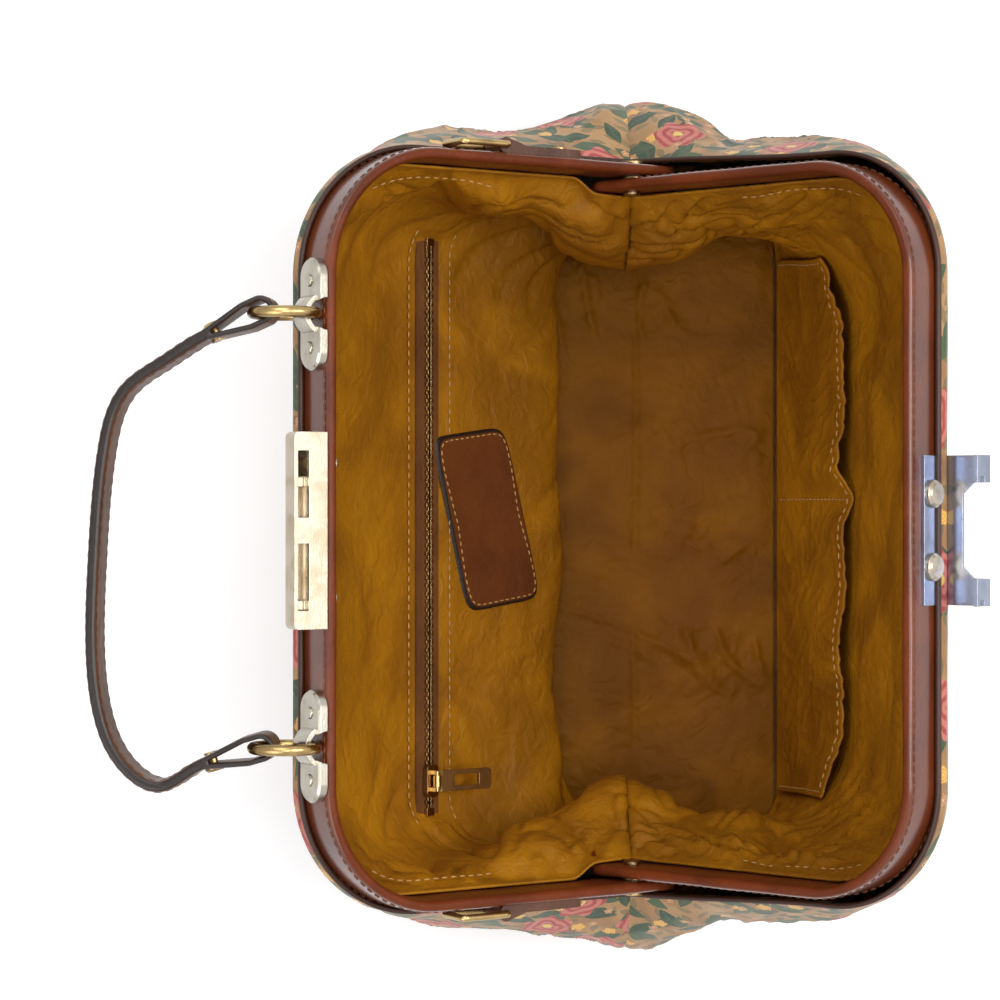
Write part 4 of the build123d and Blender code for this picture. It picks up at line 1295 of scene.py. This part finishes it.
@dataclass
class Patch:
    """Bare leather patch sewn on the rear wall at a slight slant, its rim painted dark."""

    middle: tuple[float, float] = (3.0, 0.372)
    length: float = 72.0
    height: float = 27.0
    slant: float = 11.0
    thick: float = 1.4
    wall_height: float = 150.0
    stitch_inset: float = 2.2

    def spot(self, a: np.ndarray, b: np.ndarray, distance: np.ndarray | float) -> np.ndarray:
        """Place on the wall for a point of the flat patch.

        Args:
            a: Along the patch, millimetres from its middle.
            b: Up the patch.
            distance: Offset outwards.

        Returns:
            Points in millimetres.
        """
        c, s = math.cos(math.radians(self.slant)), math.sin(math.radians(self.slant))
        w = self.middle[0] + a * c - b * s
        t = self.middle[1] + (a * s + b * c) / self.wall_height
        return soft_wall(Half.REAR, True).lookup(w, t, distance)

    def build(self) -> list[bpy.types.Object]:
        """Rounded-corner slab on the wall, its face crowned, its rim marked for paint, and its stitches.

        Returns:
            The patch and its stitch row.
        """
        angle = np.linspace(0, math.tau, 161)[:-1]
        power = 2 / 9
        ex = np.sign(np.cos(angle)) * np.abs(np.cos(angle)) ** power * self.length / 2
        ey = np.sign(np.sin(angle)) * np.abs(np.sin(angle)) ** power * self.height / 2
        share = np.array([1.0, 1.0, 0.992, 0.975, 0.95, 0.9, 0.8, 0.6, 0.4, 0.2, 0.01])[:, None]
        lift = np.array([0.0, 0.7, 1.1, 1.32, 1.4, 1.4, 1.4, 1.4, 1.4, 1.4, 1.4])[:, None] * self.thick / 1.4
        rows = self.spot(ex * share, ey * share, -lift - 0.02)
        uv = np.stack([ex * share, ey * share], -1) * MM
        obj = mesh_from_grid("Leather_patch", to_row(rows), uv, close_v=True)
        mark(obj, "edge", (share > 0.965) * np.ones(160))
        dress(obj, Finish.PATCH, "leather_patch", Body.BAG.value)
        keep_in = 1 - self.stitch_inset / np.hypot(ex, ey)
        line = self.spot(ex * keep_in, ey * keep_in, -self.thick - 0.12)
        lift = self.spot(ex, ey, -3.0) - self.spot(ex, ey, -1.0)
        row = stitches("Patch_stitches", np.concatenate([line, line[:1]]), np.concatenate([lift, lift[:1]]),
                       2.2, 1.0, 0.36)
        dress(row, Finish.THREAD, body=Body.BAG.value)
        return [obj, row]


def sweep(name: str, centre: np.ndarray, across: np.ndarray, out: np.ndarray, wide: np.ndarray,
          thick: np.ndarray, paint: Callable[[np.ndarray], np.ndarray], count: int = 44,
          squareness: tuple[float, float] = (7.0, 2.6)) -> bpy.types.Object:
    """Flat strap along a path: a rounded box section at each point, ends closed to a point.

    Args:
        name: Object name.
        centre: Path, design millimetres.
        across: Unit direction of the width at each point.
        out: Unit direction of the thickness at each point.
        wide: Half width at each point.
        thick: Half thickness at each point.
        paint: Edge mark from the across coordinate, -1 to 1.
        count: Points around.
        squareness: Powers of the section's two coordinates.

    Returns:
        The strap.
    """
    a = np.linspace(0, math.tau, count + 1)[:-1]
    ca, sa = np.cos(a), np.sin(a)
    e = np.sign(ca) * np.abs(ca) ** (2 / squareness[0])
    f = np.sign(sa) * np.abs(sa) ** (2 / squareness[1])
    rows = (centre[:, None] + across[:, None] * (wide[:, None] * e)[..., None]
            + out[:, None] * (thick[:, None] * f)[..., None])
    rows = np.concatenate([centre[:1, None] + 0 * rows[:1], rows, centre[-1:, None] + 0 * rows[:1]])
    steps = np.concatenate([[0, 0], np.cumsum(np.linalg.norm(np.diff(centre, axis=0), axis=1)), [0]])
    steps[-1] = steps[-2]
    uv = np.stack([steps[:, None] + 0 * e, 0 * steps[:, None] + np.cumsum(np.abs(e)) * 0.5], -1) * MM
    obj = mesh_from_grid(name, to_row(rows), uv, close_v=True)
    mark(obj, "edge", np.broadcast_to(paint(e), rows.shape[:2]))
    gloss = ease((f - 0.2) / 0.7) * ease((0.99 - np.abs(e)) / 0.05)
    mark(obj, "gloss", np.broadcast_to(gloss, rows.shape[:2]))
    return obj


BANDS = {Half.REAR: (141.0, 139.5, 48.0, 1.2), Half.FRONT: (132.4, 133.8, 44.0, -4.0)}


@dataclass
class Band:
    """Leather-covered band of one frame half: a U with round corners and rounded arm ends."""

    half: Half
    reach: float
    span: float
    bend: float
    curl: float
    thick: float = 4.4
    width: float = 20.0
    tail: float = 18.0
    stitch_line: float = 7.6

    def path(self) -> tuple[np.ndarray, np.ndarray]:
        """Middle line of the U and its outward normal, upright: two arms, two quarter circles and a bar.

        Returns:
            Points and normals, design millimetres.
        """
        half, r = self.span - self.thick / 2, self.bend - self.thick / 2
        top = self.reach - self.thick / 2
        tail = -self.tail + (self.tail - 1) * (1 - np.cos(np.linspace(0.06, math.pi / 2, 26)))
        arm = np.concatenate([tail, np.linspace(tail[-1], top - r, 70)[1:]])
        a = np.linspace(0, math.pi / 2, 46)[1:]
        bar = np.linspace(half - r, 0, 60)[1:]
        x = np.concatenate([0 * arm + half, half - r + r * np.cos(a), bar])
        z = np.concatenate([arm, top - r + r * np.sin(a), 0 * bar + top])
        nx = np.concatenate([0 * arm + 1, np.cos(a), 0 * bar])
        nz = np.concatenate([0 * arm, np.sin(a), 0 * bar + 1])
        x = x + self.curl * ((-z - 9).clip(0) / 9) ** 2
        x, z = np.concatenate([x, -x[-2::-1]]), np.concatenate([z, z[-2::-1]])
        nx, nz = np.concatenate([nx, -nx[-2::-1]]), np.concatenate([nz, nz[-2::-1]])
        zero = 0 * x
        return np.stack([x, zero, z], -1), np.stack([nx, zero, nz], -1)

    def build(self) -> list[bpy.types.Object]:
        """The band, narrowing to its round arm ends, its far edge marked for paint, and its stitches.

        Returns:
            The band and two stitch rows.
        """
        name = self.half.name.lower()
        centre, normal = self.path()
        end = self.width / 2 - self.tail
        round_off = (self.width / 2) ** 2 - np.minimum(centre[:, 2] - end, 0) ** 2
        wide = np.sqrt(round_off.clip(0.4))
        across = np.zeros_like(normal)
        across[:, 1] = self.half.value
        away = np.array([0.0, 0.0, HINGE_Z])
        turned = stand(normal, self.half) - away
        trail = np.concatenate([[0], np.cumsum(np.linalg.norm(np.diff(centre, axis=0), axis=1))])
        uneven = 0.1 * waves(trail, 0 * trail, 5, 40)
        obj = sweep(f"Frame_cover_{name}", stand(centre, self.half), stand(across, self.half) - away, turned,
                    wide, self.thick / 2 + 0.06 + uneven, lambda e: ease((e - 0.86) / 0.06), 48, (9.0, 2.4))
        body = Body.REAR if self.half is Half.REAR else Body.FRONT
        dress(obj, Finish.TRIM, f"frame_cover_{name}", body.value)
        made = [obj]
        inside = centre[:, 2] > 4
        for side in (-1, 1):
            line = centre[inside] + normal[inside] * (self.thick / 2 + 0.02)
            line = line + across[inside] * side * self.stitch_line
            row = stitches(f"Frame_stitches_{name}_{'near' if side < 0 else 'far'}", stand(line, self.half),
                           turned[inside], 2.6, 1.2, 0.36)
            dress(row, Finish.DARK_THREAD, body=body.value)
            made.append(row)
        return made


def spline(points: np.ndarray, count: int) -> np.ndarray:
    """Natural cubic spline by chord length.

    Args:
        points: Points to pass through.
        count: Points wanted.

    Returns:
        Points along the curve.
    """
    h = np.linalg.norm(np.diff(points, axis=0), axis=1)
    n = len(points)
    a = np.eye(n)
    b = np.zeros_like(points)
    slope = np.diff(points, axis=0) / h[:, None]
    for i in range(1, n - 1):
        a[i, i - 1:i + 2] = h[i - 1], 2 * (h[i - 1] + h[i]), h[i]
        b[i] = 6 * (slope[i] - slope[i - 1])
    m = np.linalg.solve(a, b)
    trail = np.concatenate([[0], np.cumsum(h)])
    s = np.linspace(0, trail[-1], count)
    i = np.clip(np.searchsorted(trail, s, side="right") - 1, 0, n - 2)
    d, e, w = (s - trail[i])[:, None], (trail[i + 1] - s)[:, None], h[i][:, None]
    return (m[i] * e ** 3 + m[i + 1] * d ** 3) / (6 * w) + (points[i] / w - m[i] * w / 6) * e + (
        points[i + 1] / w - m[i + 1] * w / 6) * d


@dataclass
class Handle:
    """Stitched strap that lies in the plane of its rings, each end folded around a ring."""

    wide: float = 16.0
    thick: float = 4.2
    ply: float = 2.1
    void: float = 3.1
    leans: tuple[float, float] = (24.0, 16.0)
    droop: float = 5.0
    ring: tuple[float, float, float] = (77.0, 127.0678, 213.0254)
    fold_start: float = 7.7
    stitch_inset: float = 2.2
    route: tuple[tuple[float, float], ...] = (
        (59.5, 43), (50, 56), (28, 64), (-10, 67.4), (-42, 68.2), (-67, 65), (-83, 57), (-90.5, 44))

    def along(self, side: int, distance: np.ndarray, aside: np.ndarray | float = 0.0) -> np.ndarray:
        """Point on a strap end in the handle's plane.

        Args:
            side: 1 for the right end, -1 for the left.
            distance: From the middle of its fold.
            aside: Off its middle line.

        Returns:
            Plane points.
        """
        turn = math.radians(self.leans[0 if side > 0 else 1])
        x0 = side * self.ring[0] + math.tan(turn) * 1.8
        return np.stack([x0 - math.sin(turn) * distance + math.cos(turn) * aside,
                         self.fold_start + math.cos(turn) * distance + math.sin(turn) * aside], -1)

    def lay(self, flat: np.ndarray) -> tuple[np.ndarray, np.ndarray, np.ndarray]:
        """Plane path to the design frame, with its width and thickness directions.

        Args:
            flat: Plane points.

        Returns:
            Points, across and out directions.
        """
        tilt = math.radians(self.droop)
        forward = np.array([0.0, math.cos(tilt), -math.sin(tilt)])
        normal = np.array([0.0, math.sin(tilt), math.cos(tilt)])
        points = np.array([0.0, *self.ring[1:]]) + flat[:, :1] * np.array([1.0, 0, 0]) + flat[:, 1:] * forward
        way = np.gradient(points, axis=0)
        way /= np.linalg.norm(way, axis=1, keepdims=True)
        return points, np.broadcast_to(normal, points.shape), np.cross(way, normal)

    def strap(self, name: str, flat: np.ndarray, thick: float) -> bpy.types.Object:
        """One length of strap with painted edges.

        Args:
            name: Object name.
            flat: Path in the handle's plane.
            thick: Its thickness.

        Returns:
            The strap.
        """
        points, across, out = self.lay(flat)
        ones = np.ones(len(flat))
        obj = sweep(name, points, across, out, ones * self.wide / 2, ones * thick / 2,
                    lambda e: ease((np.abs(e) - 0.93) / 0.04), 52, (9.0, 3.4))
        dress(obj, Finish.STRAP, body=Body.HANDLE.value)
        return obj

    def build(self) -> list[bpy.types.Object]:
        """Grip along a spline, a fold at each end and two stitch rows.

        Returns:
            The pieces.
        """
        start, end = self.along(1, np.array([19.0, 21.0])), self.along(-1, np.array([21.0, 19.0]))
        flat = spline(np.concatenate([start, self.route, end]), 260)
        grip = self.strap("Handle_grip", flat, self.thick)
        made = [grip]
        d = np.linspace(21.5, 0, 30)
        aside = np.interp(d, [5.5, 21], [self.void + self.ply / 2, self.ply / 2])
        a = np.linspace(math.pi / 2, -math.pi / 2, 24)[1:-1]
        around = -(self.void + self.ply / 2) * np.cos(a)
        for side, name in ((1, "right"), (-1, "left")):
            distance = np.concatenate([d, around, d[::-1]])
            off = np.concatenate([aside, (self.void + self.ply / 2) * np.sin(a), -aside[::-1]])
            made.append(self.strap(f"Handle_fold_{name}", self.along(side, distance, off), self.ply))
        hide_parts("handle_strap")
        points, across, out = self.lay(flat)
        for sign, face in ((1, "outer"), (-1, "inner")):
            for edge, label in ((-1, "low"), (1, "high")):
                line = points + out * sign * (self.thick / 2 - 0.05)
                line = line + across * edge * (self.wide / 2 - self.stitch_inset)
                row = stitches(f"Handle_stitches_{face}_{label}", line[8:-8], out[8:-8] * sign,
                               3.0, 1.3, 0.26)
                dress(row, Finish.DARK_THREAD, body=Body.HANDLE.value)
                made.append(row)
        return made


@dataclass
class LiningSeams:
    """Thread along the zip and just under the frame."""

    inset: float = 0.35
    zip_reach: float = 119.0
    zip_levels: tuple[tuple[str, float], ...] = (("upper", 0.579), ("lower", 0.461))
    rim_span: tuple[float, float] = (132.0, 186.0)
    rim_level: float = 0.955

    def row(self, name: str, half: Half, w: np.ndarray, t: np.ndarray, rides: bool) -> bpy.types.Object:
        """One stitch row on a lining wall.

        Args:
            name: Object name.
            half: Which wall.
            w: Arc lengths.
            t: Levels.
            rides: Keeps to the bag's body, or else is put on no body.

        Returns:
            The row.
        """
        wall = soft_wall(half, True)
        line = wall.lookup(w, t, -self.inset)
        row = stitches(name, line, wall.lookup(w, t, -self.inset - 1) - line, 2.6, 1.1, 0.38)
        if not rides:
            follow(row)
        dress(row, Finish.THREAD, body=Body.BAG.value if rides else "")
        return row

    def build(self) -> list[bpy.types.Object]:
        """Rows beside the zip and just under the frame.

        Returns:
            The rows.
        """
        made = []
        w = np.linspace(-self.zip_reach, self.zip_reach, 260)
        for name, level in self.zip_levels:
            made.append(self.row(f"Zip_stitches_{name}", Half.REAR, w, np.full(260, level), True))
        for half in Half:
            for side, name in ((1, "right"), (-1, "left")):
                end = side * np.linspace(*self.rim_span, 90)
                label = f"Rim_stitches_{half.name.lower()}_{name}"
                made.append(self.row(label, half, end, np.full(90, self.rim_level), False))
        return made


KEPT_NODES: dict[Finish, tuple[str, ...]] = {
    Finish.TAB: ("leather_base", "side_tab_left", "side_tab_right"),
    Finish.BOARD: ("base_board",),
    Finish.RING: ("base_feet", "zip_teeth", "zip_slider", "zip_pull", "side_tab_rivets",
                  "side_ring_left", "side_ring_right", "handle_ring_left", "handle_ring_right",
                  "handle_rivets"),
    Finish.TAPE: ("zip_tape", "zip_pocket"),
    Finish.PIN: ("pivot_pin_left", "pivot_pin_right", "pivot_washer_left", "pivot_washer_right"),
    Finish.STRIP: ("frame_core_rear", "frame_core_front", "lock_plate"),
    Finish.BRASS: ("lock_housing", "lock_rivets", "lock_latch", "catch_rivets"),
    Finish.MOUNT: ("handle_mount_left", "handle_mount_right", "mount_rivets"),
    Finish.STEEL: ("catch_plate",),
}


@dataclass
class Hardware:
    """Metal, board, tape and small leather pieces kept from the CAD part."""

    looks: dict[Finish, tuple[str, ...]] = field(default_factory=lambda: dict(KEPT_NODES))

    def build(self) -> int:
        """Finishes each kept node.

        Returns:
            How many there are.
        """
        for look, nodes in self.looks.items():
            for node in nodes:
                finish(bpy.data.objects[node], look)
        return sum(len(nodes) for nodes in self.looks.values())


@dataclass
class Studio:
    """Pale floor, soft lights and the photograph's camera."""

    camera: tuple[float, float, float] = (0.010553, 0.013122, 1.225)
    field_of_view: float = 2 * math.atan(192.5 / 1100)
    floor_half: float = 6.0

    def floor(self) -> None:
        """A plain white floor under the feet."""
        h = self.floor_half
        mesh = bpy.data.meshes.new("Floor")
        mesh.from_pydata([(-h, -h, 0), (h, -h, 0), (h, h, 0), (-h, h, 0)], [], [(0, 1, 2, 3)])
        obj = add_object("Floor", mesh)
        s = Shader("floor")
        seen = s.node("ShaderNodeLightPath", {}).outputs["Is Camera Ray"]
        s.set(Base_Color=(0.93, 0.93, 0.93, 1.0), Roughness=0.9, Specular_IOR_Level=0.1,
              Emission_Color=(1.0, 1.0, 1.0, 1.0), Emission_Strength=s.math("MULTIPLY", seen, 0.25))
        mesh.materials.append(s.material)

    def light(self, name: str, place: tuple[float, float, float], size: float, power: float) -> None:
        """A square softbox aimed at the bag's middle.

        Args:
            name: Object name.
            place: Where it stands.
            size: Its side.
            power: Watts.
        """
        lamp = bpy.data.lights.new(name, "AREA")
        lamp.shape, lamp.size, lamp.energy = "SQUARE", size, power
        obj = add_object(name, lamp)
        obj.location = place
        way = np.array([0, 0, 0.1]) - np.array(place)
        flat = math.hypot(way[0], way[1])
        obj.rotation_euler = (math.atan2(flat, -way[2]), 0, math.atan2(-way[0], way[1]) if flat > 1e-6 else 0)

    def world(self) -> None:
        """White to the camera and to mirrors, soft grey light to the rest."""
        world = bpy.data.worlds.new("World")
        bpy.context.scene.world = world
        world.use_nodes = True
        tree = world.node_tree
        tree.nodes.clear()
        path = tree.nodes.new("ShaderNodeLightPath")
        white, soft = tree.nodes.new("ShaderNodeBackground"), tree.nodes.new("ShaderNodeBackground")
        white.inputs["Color"].default_value, white.inputs["Strength"].default_value = (1, 1, 1, 1), 1.0
        soft.inputs["Color"].default_value, soft.inputs["Strength"].default_value = (0.9, 0.93, 1.0, 1), 0.3
        either, through = tree.nodes.new("ShaderNodeMath"), tree.nodes.new("ShaderNodeMath")
        either.operation = through.operation = "MAXIMUM"
        mix, out = tree.nodes.new("ShaderNodeMixShader"), tree.nodes.new("ShaderNodeOutputWorld")
        for source, socket in ((path.outputs["Is Camera Ray"], either.inputs[0]),
                               (path.outputs["Is Glossy Ray"], either.inputs[1]),
                               (either.outputs[0], through.inputs[0]),
                               (path.outputs["Is Transmission Ray"], through.inputs[1]),
                               (through.outputs[0], mix.inputs[0]), (soft.outputs[0], mix.inputs[1]),
                               (white.outputs[0], mix.inputs[2]), (mix.outputs[0], out.inputs[0])):
            tree.links.new(source, socket)

    def build(self) -> None:
        """Adds floor, lights, world, camera and plain view settings."""
        self.floor()
        self.world()
        self.light("Key", (0.15, -1.2, 1.5), 1.0, 17.0)
        self.light("Fill", (-0.9, 0.9, 1.5), 1.2, 12.0)
        self.light("Side", (1.1, 0.3, 1.6), 1.1, 11.0)
        self.light("Top", (0.0, -0.25, 2.2), 0.7, 12.0)
        scene = bpy.context.scene
        lens = bpy.data.cameras.new("Camera")
        lens.sensor_fit, lens.angle = "HORIZONTAL", self.field_of_view
        obj = add_object("Camera", lens)
        obj.location, obj.rotation_euler = self.camera, (0, 0, -math.pi / 2)
        scene.camera = obj
        scene.view_settings.view_transform = "Standard"


def flat_cut(obj: bpy.types.Object) -> tuple[float, float, float]:
    """Flat size of a cloth piece from its own cloth coordinates, which run over both of its faces.

    Args:
        obj: The piece.

    Returns:
        Width and length in metres, and area in square metres: half of the sum of the quads' shoelace areas.
    """
    layer = obj.data.uv_layers["cloth"].data
    uv = np.empty(len(layer) * 2, dtype=np.float32)
    layer.foreach_get("uv", uv)
    quad = uv.reshape(-1, 4, 2).astype(float)
    a, b = quad[:, 2] - quad[:, 0], quad[:, 3] - quad[:, 1]
    area = np.abs(a[:, 0] * b[:, 1] - a[:, 1] * b[:, 0]).sum() / 4
    width, length = np.ptp(quad.reshape(-1, 2), axis=0)
    return float(width), float(length), float(area)


def declare_cloth(obj: bpy.types.Object) -> None:
    """Logs the flat cut size of a cloth piece, from its own cloth coordinates.

    Args:
        obj: The piece.
    """
    width, length, area = flat_cut(obj)
    log.info("%s is cut %.0f by %.0f mm, %.4f square metres", obj.name, width / MM, length / MM, area)


def main() -> None:
    """Builds the bag piece by piece."""
    for half in Half:
        leather = OuterLeather(half).build()
        lining = Lining(half).build()
        band = Band(half, *BANDS[half])
        log.info("%s: %s, %s, %d band pieces", half.name, leather.name, lining.name, len(band.build()))
        declare_cloth(lining)
    declare_cloth(LiningFloor().build())
    pocket = SlipPocket()
    declare_cloth(pocket.build())
    log.info("pocket: %d seams", len(pocket.seams()))
    log.info("patch: %d pieces", len(Patch().build()))
    log.info("lining seams: %d", len(LiningSeams().build()))
    log.info("handle: %d pieces", len(Handle().build()))
    log.info("hardware: %d nodes", Hardware().build())
    Studio().build()


if __name__ == "__main__":
    main()
